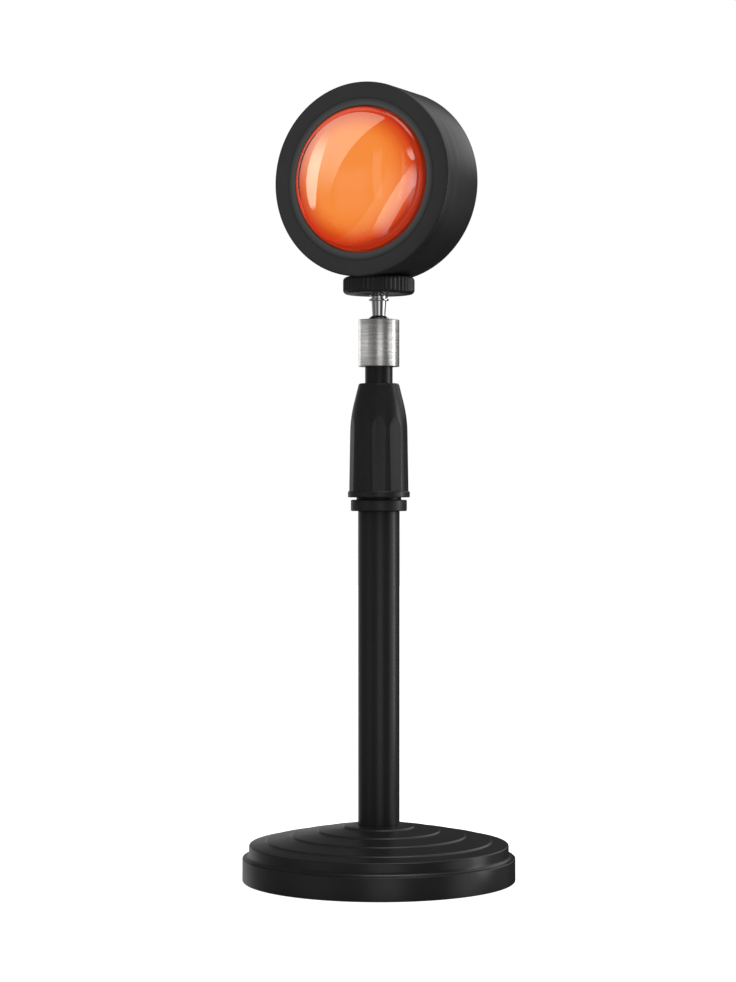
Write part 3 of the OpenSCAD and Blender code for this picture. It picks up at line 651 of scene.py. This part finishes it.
class LAMP_OT_lock_grip(Maker, bpy.types.Operator):
    """Twist-lock grip with finger flats"""

    bl_idname = "lamp.lock_grip"
    bl_label = "Twist-lock grip"

    def make(self, sizes, colours):
        """Spins the grip, planes the flats on it and adds the flange."""
        foot, top = ends("lock_grip")
        low_r, mid_r = sizes.grip_low_radius, sizes.grip_mid_radius
        low_slope = (low_r - mid_r) / (sizes.taper_start - sizes.flange_height)
        bend, slope = sizes.taper_bend, sizes.taper_slope

        def bend_radius(up):
            """Radius of the grip at a height above the taper's start."""
            return mid_r - low_slope * up - (slope - low_slope) * up * up / (2 * bend)

        bend_steps = 10
        bore = sizes.neck_radius + RUN_GAP
        throat = sizes.inner_radius + FREE_GAP
        shoulder = high("clamp_ferrule").z + RUN_GAP
        body_foot = foot + 0.4 * MM
        top_r = bend_radius(bend) - slope * (top - foot - sizes.taper_start - bend)
        profile = [(low_r, body_foot, 0)]
        for index in range(bend_steps + 1):
            up = bend * index / bend_steps
            profile.append((bend_radius(up), foot + sizes.taper_start + up, 0))
        profile += [(top_r, top, 0.55 * MM), (throat, top, 0.15 * MM), (throat, shoulder, 0),
                    (bore, shoulder, 0), (bore, body_foot, 0)]
        bm = turned(profile, 240)
        flange_top = foot + sizes.flange_height
        lean = math.atan(low_slope) + math.radians(0.1)
        first_flat = math.radians(-27.2)
        for index in range(sizes.flat_count):
            turn = Matrix.Rotation(first_flat + index * FULL_TURN / sizes.flat_count, 4, "Z")
            normal = turn @ Vector((math.cos(lean), 0, math.sin(lean)))
            place = turn @ Vector((low_r - sizes.flat_depth, 0, flange_top))
            bmesh.ops.bisect_plane(bm, geom=bm.verts[:] + bm.edges[:] + bm.faces[:], dist=1e-8,
                                   plane_co=place, plane_no=normal, clear_outer=True)
            rim = [edge for edge in bm.edges if edge.is_boundary]
            bmesh.ops.holes_fill(bm, edges=rim, sides=0)
        flange_r = half_width("lock_grip")
        joined(bm, turned([
            (flange_r, foot, 0.35 * MM), (flange_r, flange_top, 0.4 * MM), (low_r - 1 * MM, flange_top, 0),
            (bore, flange_top - 0.3 * MM, 0), (bore, foot, 0.3 * MM)], 240))
        piece = finished("lock_grip_moulding", bm, math.radians(8))
        dressed(piece, moulded("grip_plastic", colours.plastic, 0.33), "grip", "lock_grip")


class LAMP_OT_ball_joint(Maker, bpy.types.Operator):
    """Turned housing and chromed ball stud"""

    bl_idname = "lamp.ball_joint"
    bl_label = "Ball joint"

    def make(self, sizes, colours):
        """Spins the housing and the stud and winds the stud's thread."""
        housing_r = half_width("ball_housing")
        foot, top = ends("ball_housing")
        ball_r = half_width("ball_stud")
        socket_r = ball_r + RUN_GAP
        bore = socket_r + 0.45 * MM
        bore_top = BALL_CENTRE_Z - 0.8 * MM
        socket = self.arc(socket_r, math.asin((top - BALL_CENTRE_Z) / socket_r),
                          math.asin((bore_top - BALL_CENTRE_Z) / socket_r), 8)
        housing = finished("ball_housing_turned", turned([
            (bore, foot, 0.1 * MM), (housing_r, foot, 0.2 * MM), (housing_r, top, 0.3 * MM)]
            + socket + [(bore, bore_top, 0)], 160))
        dressed(housing, lathe_steel(colours.steel), "upper", "ball_housing")
        lit_by(HOUSING).objects.link(housing)

        thread_top = high("ball_stud").z
        thread_z = thread_top - 13.6 * MM
        flange_r, flange_z = 3.35 * MM, thread_z - 0.6 * MM
        stem_low, stem_top, core = 2.22 * MM, 2.485 * MM, 2.55 * MM
        stud = turned(self.arc(ball_r, -math.pi / 2, math.acos(stem_low / ball_r), 24) + [
            (stem_top, flange_z, 0.15 * MM), (flange_r, flange_z, 0.12 * MM), (flange_r, thread_z, 0.12 * MM),
            (core, thread_z, 0), (core, thread_top, 0.4 * MM), (0, thread_top, 0)], 96)
        joined(stud, self.thread(core, THREAD_R, sizes.thread_pitch, thread_z, thread_top))
        piece = finished("ball_stud_chromed", stud)
        dressed(piece, polished_chrome("bright_chrome", colours.chrome), "stud", "ball_stud")

    @staticmethod
    def arc(radius, start, end, steps):
        """Profile points on a circle about the ball's centre, from one angle above the level to another."""
        angles = [start + (end - start) * index / steps for index in range(steps + 1)]
        return [(radius * math.cos(angle), BALL_CENTRE_Z + radius * math.sin(angle), 0) for angle in angles]

    @staticmethod
    def thread(core, crest, pitch, start, end):
        """A screw thread: a triangle wound up the core."""
        bm = bmesh.new()
        sink, steps_per_turn = 0.2 * MM, 36
        outline = [(core - sink, 0), (core - sink, pitch * 0.94), (core, pitch * 0.9),
                   (crest, pitch * 0.54), (crest, pitch * 0.42), (core, pitch * 0.06)]
        verts = [bm.verts.new((r, 0, start + z)) for r, z in outline]
        face = bm.faces.new(verts)
        turns = (end - start) / pitch - 1.1
        steps = int(turns * steps_per_turn)
        bmesh.ops.spin(bm, geom=[face, *face.edges, *face.verts], cent=(0, 0, 0), axis=(0, 0, 1),
                       dvec=(0, 0, turns * pitch / steps), angle=FULL_TURN * turns, steps=steps,
                       use_merge=False, use_duplicate=False)
        bmesh.ops.recalc_face_normals(bm, faces=bm.faces)
        return bm


class LAMP_OT_lock_nut(Maker, bpy.types.Operator):
    """Knurled lock nut and its rubber washer"""

    bl_idname = "lamp.lock_nut"
    bl_label = "Lock nut"

    def make(self, sizes, colours):
        """Spins the nut, then presses the knurl's grooves into its edge."""
        radius = half_width("lock_nut") + 0.01 * MM
        foot, top = ends("lock_nut")
        core = half_width("nut_insert") + FIT_GAP
        lip_r, lip_z = THREAD_R + FREE_GAP, low("nut_insert").z
        washer_r, washer_top = half_width("nut_washer"), high("nut_washer").z
        recess_r, recess_z = washer_r + 0.1 * MM, low("nut_washer").z
        bm = turned([
            (core, lip_z, 0), (lip_r, lip_z, 0), (lip_r, foot + 0.4 * MM, 0.2 * MM),
            (radius - sizes.nut_round, foot, 0),
            (radius, foot, sizes.nut_round), (radius, top, sizes.nut_round),
            (recess_r, top, 0.1 * MM), (recess_r, recess_z, 0), (core, recess_z, 0)], sizes.knurl_count * 8)
        for vert in bm.verts:
            reach = Vector(vert.co.xy).length
            wave = 0.5 - 0.5 * math.cos(sizes.knurl_count * math.atan2(vert.co.y, vert.co.x))
            limit = radius - sizes.knurl_depth * wave ** 0.8
            if reach > limit:
                vert.co.xy = vert.co.xy * (limit / reach)
        piece = finished("lock_nut_moulding", bm, math.radians(40))
        dressed(piece, moulded("nut_plastic", colours.plastic, 0.34), "nut", "lock_nut")
        washer = finished("nut_washer_rubber", turned([
            (lip_r, recess_z, 0.1 * MM), (washer_r, recess_z, 0.1 * MM),
            (washer_r, washer_top, 0.15 * MM), (lip_r, washer_top, 0.1 * MM)], 96))
        dressed(washer, soft_matt("washer_rubber", (0.012, 0.012, 0.013)), "washer", "nut_washer")


class LAMP_OT_barrel(Maker, bpy.types.Operator):
    """Drum-shaped barrel of the lamp head"""

    bl_idname = "lamp.barrel"
    bl_label = "Lamp barrel"

    def make(self, sizes, colours):
        """Spins the barrel, adds lugs and boss, and mills the flat for the lock nut."""
        radius = half_width("lamp_barrel")
        back = depth(high("lamp_barrel").y)
        bore = radius - sizes.barrel_wall
        seat_r = half_width("lens_ring") + RUN_GAP
        web_d = depth(high("colour_filter").y)
        web_back, web_r = web_d + 2.4 * MM, sizes.lens_radius - 0.5 * MM
        rear_d = depth(low("rear_cover").y)
        lug_r, lug_sink = 3.4 * MM, 0.1 * MM
        bm = turned([
            (seat_r, 0, 0.03 * MM), (radius, 0, 0.5 * MM), (radius, back, 0.5 * MM), (bore, back, 0.15 * MM),
            (bore, web_back, 0), (web_r, web_back, 0), (web_r, web_d, 0), (seat_r, web_d, 0)], 256)
        for place in thirds(TOP_OF_HEAD, REAR_SCREW_AT):
            joined(bm, moved(rod(lug_r, web_back - lug_sink, rear_d + lug_sink), place))
        piece = finished("lamp_barrel_turned", moved(bm, HEAD_PLACE))
        spot_r, spot_z = half_width("lock_nut") + 0.46 * MM, low("mount_insert").z
        cutter_foot = spot_z - 6 * MM
        cut(piece, "spot_cutter", turned([
            (0, cutter_foot, 0), (spot_r, cutter_foot, 0), (spot_r, spot_z, 0), (0, spot_z, 0)], 128, closed=False))
        insert_r, insert_top, boss_wall = half_width("mount_insert"), high("mount_insert").z, 1 * MM
        bore_r, bore_top = insert_r + FIT_GAP, insert_top + 0.01 * MM
        boss_r, boss_top = insert_r + boss_wall, insert_top + boss_wall
        boss_piece = finished("lamp_barrel_boss", turned([
            (bore_r, spot_z, 0), (boss_r, spot_z, 0), (boss_r, boss_top, 0), (0, boss_top, 0), (0, bore_top, 0),
            (bore_r, bore_top, 0)], 64))
        anodised = turned_metal("black_anodised", colours.anodised, 0.34, 0.0, (0.03, 1, 0.03), 2.6, 0.005 * MM)
        dressed(boss_piece, anodised, "head", "lamp_barrel")
        dressed(piece, anodised, "head", "lamp_barrel")
        lit_by(HEAD).objects.link(piece)


class LAMP_OT_optics(Maker, bpy.types.Operator):
    """Lens, retaining ring and glowing filter"""

    bl_idname = "lamp.optics"
    bl_label = "Optics"

    def make(self, sizes, colours):
        """Spins the lens and its ring and lights the filter behind them."""
        ring_r = half_width("lens_ring")
        ring_back = depth(high("lens_ring").y)
        ring_in = sizes.lens_radius + FREE_GAP
        ring = finished("lens_ring_turned", moved(turned([
            (ring_in, 0, 0.5 * MM), (ring_r, 0, 0.03 * MM), (ring_r, ring_back, 0.1 * MM),
            (ring_in, ring_back, 0)], 192), HEAD_PLACE))
        dressed(ring, ring_with_painted_glow(colours, ring_in, ring_r), "head", "lens_ring")

        edge_r = half_width("lens")
        flank_w, flank_h = sizes.lens_flank, sizes.lens_flank_height
        dome = sizes.lens_dome_radius
        dome_edge = sizes.lens_radius - flank_w
        sag = dome - math.sqrt(dome * dome - dome_edge * dome_edge)
        dome_steps, flank_steps = 28, 9
        front = []
        for index in range(dome_steps + 1):
            reach = dome_edge * index / dome_steps
            front.append((reach, -flank_h - sag + dome - math.sqrt(dome * dome - reach * reach), 0))
        for index in range(1, flank_steps + 1):
            angle = math.pi / 2 * (1 - index / flank_steps)
            front.append((sizes.lens_radius - flank_w * (1 - math.cos(angle)), -flank_h * math.sin(angle), 0))
        lens_back = depth(high("lens").y)
        body = front + [(sizes.lens_radius, ring_back, 0), (edge_r, ring_back, 0.15 * MM),
                        (edge_r, lens_back, 0.15 * MM), (0, lens_back, 0)]
        lens = finished("lens_glass_dome", moved(turned(body, 192), HEAD_PLACE), math.radians(20))
        dressed(lens, lens_glass("lens_glass_front", colours, sizes.lens_radius, 1.0), "head", "lens")
        lens.data.materials.append(lens_glass("lens_glass_back", colours, sizes.lens_radius, 0.0))
        for face in lens.data.polygons:
            reach = math.hypot(face.center.x, face.center.z - HEAD_AXIS_Z)
            face.material_index = int(depth(face.center.y) > ring_back / 2 or reach > dome_edge)
        lit_by(LENS).objects.link(lens)
        lit_by(HEAD).objects.link(ring)

        refinished("colour_filter", filter_glow(colours, half_width("colour_filter")))


class LAMP_OT_rear_cover(Maker, bpy.types.Operator):
    """Grooved rear cover with its screws and the cable gland"""

    bl_idname = "lamp.rear_cover"
    bl_label = "Rear cover"

    def make(self, sizes, colours):
        """Spins the cover's cooling grooves, then adds gland and screws."""
        radius = half_width("rear_cover")
        front, back = depth(low("rear_cover").y), depth(high("rear_cover").y)
        profile = [(0, front, 0), (radius, front, 0), (radius, back, 0.35 * MM)]
        groove_floor = back - sizes.groove_depth
        half, first_groove_r = sizes.groove_width / 2, 6.8 * MM
        for index in reversed(range(sizes.groove_count)):
            groove_r = first_groove_r + index * sizes.groove_pitch
            profile += [(groove_r + half, back, 0.2 * MM), (groove_r + half, groove_floor, 0.3 * MM),
                        (groove_r - half, groove_floor, 0.3 * MM), (groove_r - half, back, 0.2 * MM)]
        profile.append((0, back, 0))
        bm = turned(profile, 192)
        bore, neck_r, land_r = 1.8 * MM, 3.4 * MM, 5.4 * MM
        hole_r, land_front = neck_r + FIT_GAP, front + 0.1 * MM
        gland_place = Matrix.Translation((0, HEAD_AXIS_Z - middle("cable_gland"), 0))
        land = turned([(hole_r, land_front, 0), (land_r, land_front, 0), (land_r, back, 0.3 * MM),
                       (hole_r, back, 0)], 64)
        joined(bm, moved(land, gland_place))
        piece = finished("rear_cover_turned", moved(bm, HEAD_PLACE))
        cut(piece, "seat_cutter", moved(self.seats(back), HEAD_PLACE))
        anodised = turned_metal("rear_anodised", colours.anodised, 0.4, 0.0, (0.3, 1, 0.3), 2.0, 0.006 * MM)
        dressed(piece, anodised, "head", "rear_cover")

        flange_r = half_width("cable_gland")
        gland_front, gland_back = depth(low("cable_gland").y), depth(high("cable_gland").y)
        gland = turned([
            (bore, gland_front, 0.2 * MM), (flange_r, gland_front, 0.2 * MM), (flange_r, front, 0),
            (neck_r, front, 0), (neck_r, back, 0), (flange_r, back, 0.1 * MM),
            (flange_r, gland_back, 0.8 * MM), (bore, gland_back, 0.5 * MM)], 96)
        gland_piece = finished("cable_gland_rubber", moved(gland, HEAD_PLACE @ gland_place))
        dressed(gland_piece, soft_matt("gland_rubber", (0.012, 0.012, 0.013), 0.7), "head", "cable_gland")
        screws = self.screws(back, depth(low("rear_screws").y))
        zinc = plain_metal("screw_steel", (0.30, 0.30, 0.31), 0.32)
        dressed(screws, zinc, "head", "rear_screws")

    @staticmethod
    def seats(back):
        """Countersinks for the three screws."""
        seat_r, floor_r, above = REAR_HEAD_R + 0.06 * MM, REAR_SHANK_R + 0.06 * MM, back + 1 * MM
        floor = back - REAR_HEAD_R + REAR_SHANK_R
        bm = bmesh.new()
        for place in thirds(TOP_OF_HEAD, REAR_SCREW_AT):
            joined(bm, moved(turned([
                (0, floor, 0), (floor_r, floor, 0), (seat_r, back, 0), (seat_r, above, 0), (0, above, 0)],
                48, closed=False), place))
        return bm

    @staticmethod
    def screws(back, tip):
        """Three countersunk screws with hexagon sockets."""
        key_r, key_floor, head_z, near = 0.95 * MM, back - 0.9 * MM, back - 0.05 * MM, 0.01 * MM
        bm = bmesh.new()
        for place in thirds(TOP_OF_HEAD, REAR_SCREW_AT):
            screw = turned([
                (0, tip, 0), (REAR_SHANK_R, tip, 0.2 * MM), (REAR_SHANK_R, back - REAR_HEAD_R + REAR_SHANK_R, 0),
                (REAR_HEAD_R, head_z, 0.06 * MM), (key_r, head_z, 0),
                (key_r, key_floor, 0), (0, key_floor - 0.2 * MM, 0)], 48, closed=False)
            for vert in screw.verts:
                reach = Vector(vert.co.xy).length
                if abs(reach - key_r) < near and vert.co.z > key_floor - near:
                    angle = math.atan2(vert.co.y, vert.co.x) % (math.pi / 3) - math.pi / 6
                    vert.co.xy = vert.co.xy / math.cos(angle)
            joined(bm, moved(screw, place))
        return finished("rear_screws_socket", moved(bm, HEAD_PLACE))


class LAMP_OT_inside(Maker, bpy.types.Operator):
    """Finishes of the pieces inside the lamp"""

    bl_idname = "lamp.inside"
    bl_label = "Pieces inside"

    def make(self, sizes, colours):
        """Gives each carried-over piece a finish of its own."""
        zinc = plain_metal("zinc_plate", (0.58, 0.58, 0.60), 0.3)
        brass = turned_metal("turned_brass", (0.72, 0.50, 0.20), 0.28, 1.0, (0.05, 0.05, 1), 2.0, 0.005 * MM)
        nylon = soft_matt("natural_nylon", (0.78, 0.76, 0.70), 0.55)
        finishes = {
            cast_iron("cast_iron"): ("base_ballast",),
            zinc: ("base_plate", "base_plate_screws", "pole_bolt", "pole_washer", "pole_foot_plug",
                   "pole_top_plug", "ball_springs", "led_screws"),
            brass: ("clamp_ferrule", "nut_insert", "mount_insert"),
            nylon: ("guide_bush", "ball_seat", "lead_header"),
            soft_matt("seal_rubber", (0.012, 0.012, 0.013)): ("lens_gasket",),
            plain_metal("metallised_cone", (0.85, 0.85, 0.86), 0.12): ("reflector",),
            soft_matt("white_solder_mask", (0.78, 0.78, 0.74), 0.45, 2600): ("led_board",),
            soft_matt("phosphor", (0.90, 0.62, 0.10), 0.4, 2600): ("led_chip",),
            soft_matt("component_black", (0.02, 0.02, 0.02), 0.5, 2600): ("board_parts",),
            soft_matt("thermal_silicone", (0.35, 0.47, 0.58), 0.8): ("thermal_pad",),
        }
        for finish, nodes in finishes.items():
            for node in nodes:
                refinished(node, finish)


class LAMP_OT_stage(bpy.types.Operator):
    """Floor, soft studio lights, white surroundings and the camera"""

    bl_idname = "lamp.stage"
    bl_label = "Stage"

    def execute(self, context):
        """Sets the floor, the lights, the surroundings and the camera."""
        scene = context.scene
        scene.view_settings.view_transform = "Standard"
        self.floor()
        self.surroundings(scene)
        for light in STUDIO_LIGHTS:
            self.softbox(scene, *light)
        self.camera(scene)
        return {"FINISHED"}

    @staticmethod
    def floor():
        """A round white floor that keeps a faint shadow."""
        bm = bmesh.new()
        bmesh.ops.create_circle(bm, cap_ends=True, segments=96, radius=FLOOR_RADIUS)
        floor = finished("floor", bm)
        material = bpy.data.materials.new("floor_white")
        material.use_nodes = True
        tree = NodeTree(material.node_tree)
        seen = tree.node("LightPath").outputs["Is Camera Ray"]
        tree.plug(tree.nodes["Principled BSDF"], {
            "Base Color": (0.8, 0.8, 0.8, 1.0), "Roughness": 1.0, "Specular IOR Level": 0.0,
            "Emission Color": WHITE, "Emission Strength": tree.maths("MULTIPLY", seen, FLOOR_GLOW)})
        floor.data.materials.append(material)
        floor.visible_glossy = False
        floor.visible_transmission = False

    @staticmethod
    def surroundings(scene):
        """White for the camera, a studio of light and dark walls in reflections, and a plain fill elsewhere."""
        world = bpy.data.worlds.new("surroundings")
        world.use_nodes = True
        world.cycles.sampling_method = "NONE"
        scene.world = world
        tree = NodeTree(world.node_tree)
        direction = tree.node("TexCoord").outputs["Generated"]

        def along(vector):
            """How far the ray points along a vector."""
            return tree.node("VectorMath", {0: direction, 1: vector}, operation="DOT_PRODUCT").outputs["Value"]

        def wall(stops):
            """Brightness of the walls round the lamp, as (degrees, brightness) stops."""
            return tree.ramp(turn, [((degrees + 180) / 360, level) for degrees, level in stops], "EASE")

        angle = tree.maths("ARCTAN2", along(TO_RIGHT), along(TO_CAMERA))
        turn = tree.maths("ADD", tree.maths("DIVIDE", angle, FULL_TURN), 0.5)
        rise = along((0, 0, 1))
        walls = tree.mix(tree.smooth_step(rise, *UPPER_WALL_RISE), wall(EYE_LEVEL_WALL), wall(UPPER_WALL))
        dimmed = tree.node("VectorMath", {"Vector": walls, "Scale": tree.smooth_step(rise, *LOW_WALL_RISE)},
                           operation="SCALE")
        path = tree.node("LightPath")
        mirrored = tree.maths("MAXIMUM", path.outputs["Is Glossy Ray"], path.outputs["Is Transmission Ray"])
        studio = tree.mix(mirrored, (WORLD_FILL, WORLD_FILL, WORLD_FILL, 1.0), dimmed.outputs["Vector"])
        tree.plug(tree.nodes["Background"], {"Color": tree.mix(path.outputs["Is Camera Ray"], studio, WHITE)})

    @staticmethod
    def softbox(scene, name, lit, shape, turn, lift, distance, width, height, brightness, roll, lower, upper):
        """A softbox at an angle round from the camera, for some pieces or for all."""
        light = bpy.data.lights.new(name, "AREA")
        light.shape = shape
        light.size, light.size_y = width, height
        light.energy = brightness * math.pi * width * height
        if lit == LENS:
            light.color = LENS_TINT
        light.use_nodes = True
        tree = NodeTree(light.node_tree)
        place = tree.node("SeparateXYZ", {"Vector": tree.node("NewGeometry").outputs["Parametric"]})
        stops = ((0.0, float(lower == 0)), (lower, 1.0), (1.0 - upper, 1.0), (1.0, float(upper == 0)))
        tree.plug(tree.nodes["Emission"], {"Strength": tree.ramp(place.outputs["Y"], stops, "EASE")})
        angle = CAMERA_TURN + math.radians(turn)
        tilt = math.radians(lift)
        away = Vector((math.sin(angle) * math.cos(tilt), -math.cos(angle) * math.cos(tilt), math.sin(tilt)))
        lamp = bpy.data.objects.new(name, light)
        lamp.location = Vector(AIMS[lit]) + away * distance
        lamp.rotation_euler = (away.to_track_quat("Z", "Y").to_matrix()
                               @ Matrix.Rotation(math.radians(roll), 3, "Z")).to_euler()
        lamp.visible_camera = False
        scene.collection.objects.link(lamp)
        if lit:
            lamp.light_linking.receiver_collection = lit_by(lit)

    @staticmethod
    def camera(scene):
        """The photograph's viewpoint: beside the pole's axis, level with the pole's middle."""
        data = bpy.data.cameras.new("camera")
        data.lens, data.sensor_width = CAMERA_LENS, CAMERA_SENSOR
        camera = bpy.data.objects.new("camera", data)
        camera.location = TO_CAMERA * CAMERA_AWAY + TO_RIGHT * CAMERA_ASIDE + Vector((0, 0, CAMERA_HEIGHT))
        camera.rotation_euler = (math.pi / 2 - CAMERA_DIP, 0, CAMERA_TURN)
        scene.collection.objects.link(camera)
        scene.camera = camera


# The photograph's viewpoint: degrees round the lamp to its left side, lens and sensor in millimetres, distance from
# the pole's axis, shift to the right, height and downward look
CAMERA_TURN = math.radians(27.14)
CAMERA_LENS, CAMERA_SENSOR = 89.67, 36.0
CAMERA_AWAY, CAMERA_ASIDE, CAMERA_HEIGHT = 0.82915, -0.00368, 0.1330
CAMERA_DIP = math.radians(0.078)
TO_CAMERA = Vector((math.sin(CAMERA_TURN), -math.cos(CAMERA_TURN), 0))
TO_RIGHT = Vector((math.cos(CAMERA_TURN), math.sin(CAMERA_TURN), 0))
# What the softboxes aim at: the pole's middle, or the middle of the pieces that they light
LENS_MIDDLE = (0, HEAD_FACE_Y, HEAD_AXIS_Z)
AIMS = {"": (0, 0, 0.13), HOUSING: (0, 0, middle("ball_housing")), HEAD: LENS_MIDDLE, LENS: LENS_MIDDLE}
# Softboxes: name, the pieces that they light, shape, degrees round from the camera to the right, degrees up,
# distance, width, height, brightness (1 is white), roll in degrees, and the shares of the height over which the
# lower and the upper end grow dim
STUDIO_LIGHTS = (
    ("right_softbox", "", "RECTANGLE", 94, 5, 0.5, 0.1, 0.4, 3.3, 0, 0, 0),
    ("top_softbox", "", "RECTANGLE", 30, 70, 0.9, 0.6, 0.5, 3.0, 0, 0, 0),
    ("housing_back_card", HOUSING, "RECTANGLE", -138, 3.4, 0.3, 0.22, 0.08, 0.9, 0, 0, 0),
    ("housing_side_card", HOUSING, "RECTANGLE", -86, 3.4, 0.3, 0.26, 0.08, 0.62, 0, 0, 0),
    ("housing_front_card", HOUSING, "RECTANGLE", 8, 3.4, 0.3, 0.17, 0.08, 0.2, 0, 0, 0),
    ("housing_right_card", HOUSING, "RECTANGLE", 60, 3.4, 0.3, 0.07, 0.08, 0.9, 0, 0, 0),
    ("head_softbox", HEAD, "RECTANGLE", -60, 28, 0.42, 0.45, 0.7, 0.38, 0, 0, 0),
    ("lens_window", LENS, "RECTANGLE", -82.5, 34.8, 0.42, 0.339, 0.714, 1.15, -15.9, 0.45, 0),
    ("lens_left_strip", LENS, "ELLIPSE", -92.6, 13.4, 0.36, 0.085, 0.33, 1.7, -3, 0.1, 0.5),
    ("lens_right_window", LENS, "RECTANGLE", -15.6, -14.2, 0.42, 0.09, 0.618, 1.08, -34.1, 0.3, 0.3),
    ("lens_spark", LENS, "ELLIPSE", -3.5, 24.5, 0.42, 0.03, 0.09, 1.4, 20, 0, 0.6),
    ("lens_side_strip", LENS, "RECTANGLE", -31, 8, 0.42, 0.055, 0.34, 0.3, 3, 0.2, 0.2),
)
# Walls mirrored in the lamp: degrees round from the camera to the right, and brightness
EYE_LEVEL_WALL = ((-180, 0.45), (-145, 0.52), (-126, 0.24), (-105, 0.13), (-75, 0.11), (-64, 0.28), (-46, 0.28),
                  (-34, 0.12), (-11, 0.12), (-3, 0.8), (16, 0.8), (24, 0.08), (60, 0.06), (69, 0.95), (86, 0.95),
                  (98, 0.25), (112, 0.16), (134, 0.16), (142, 0.04), (180, 0.04))
UPPER_WALL = ((-180, 0.08), (-150, 0.1), (-110, 0.1), (-90, 0.1), (-40, 0.08), (0, 0.08), (60, 0.05),
              (105, 0.05), (122, 0.95), (150, 0.95), (168, 0.05), (180, 0.08))
# Upward share of the ray over which the upper walls take over, and the low one over which the walls lighten from
# their brightness at the floor
UPPER_WALL_RISE = (0.12, 0.30)
LOW_WALL_RISE = (-0.5, -0.16, 0.2)
# Tint of the lens's softboxes, which leaves the lens orange under them as the photograph shows it
LENS_TINT = (0.7, 1.0, 0.9)
WHITE = (1.0, 1.0, 1.0, 1.0)
FLOOR_GLOW, FLOOR_RADIUS = 0.93, 2.5
WORLD_FILL = 0.55
FILTER_GLOW = 1.13


class LAMP_PT_lamp(bpy.types.Panel):
    """Sizes, colours and pieces of the lamp"""

    bl_idname = "LAMP_PT_lamp"
    bl_label = "Sunset projection lamp"
    bl_space_type = "VIEW_3D"
    bl_region_type = "UI"
    bl_category = "Lamp"

    def draw(self, context):
        """Lists the operators, then the sizes and the colours."""
        for operator in OPERATORS:
            self.layout.operator(operator.bl_idname)
        for group in (context.scene.lamp_sizes, context.scene.lamp_colours):
            for name in group.__annotations__:
                self.layout.prop(group, name)


OPERATORS = (
    LAMP_OT_stage,
    LAMP_OT_base_cover,
    LAMP_OT_anti_slip_pad,
    LAMP_OT_poles,
    LAMP_OT_collet,
    LAMP_OT_lock_grip,
    LAMP_OT_ball_joint,
    LAMP_OT_lock_nut,
    LAMP_OT_barrel,
    LAMP_OT_optics,
    LAMP_OT_rear_cover,
    LAMP_OT_inside,
)
CLASSES = (LampSizes, LampColours, *OPERATORS, LAMP_PT_lamp)


def register():
    """Registers the classes and hangs the sizes and colours on the scene."""
    for cls in CLASSES:
        bpy.utils.register_class(cls)
    bpy.types.Scene.lamp_sizes = PointerProperty(type=LampSizes)
    bpy.types.Scene.lamp_colours = PointerProperty(type=LampColours)


def unregister():
    """Takes the classes and the scene's properties away."""
    del bpy.types.Scene.lamp_colours
    del bpy.types.Scene.lamp_sizes
    for cls in reversed(CLASSES):
        bpy.utils.unregister_class(cls)


def main():
    """Makes every piece in order."""
    register()
    for operator in OPERATORS:
        group, name = operator.bl_idname.split(".")
        getattr(getattr(bpy.ops, group), name)()


if __name__ == "__main__":
    main()
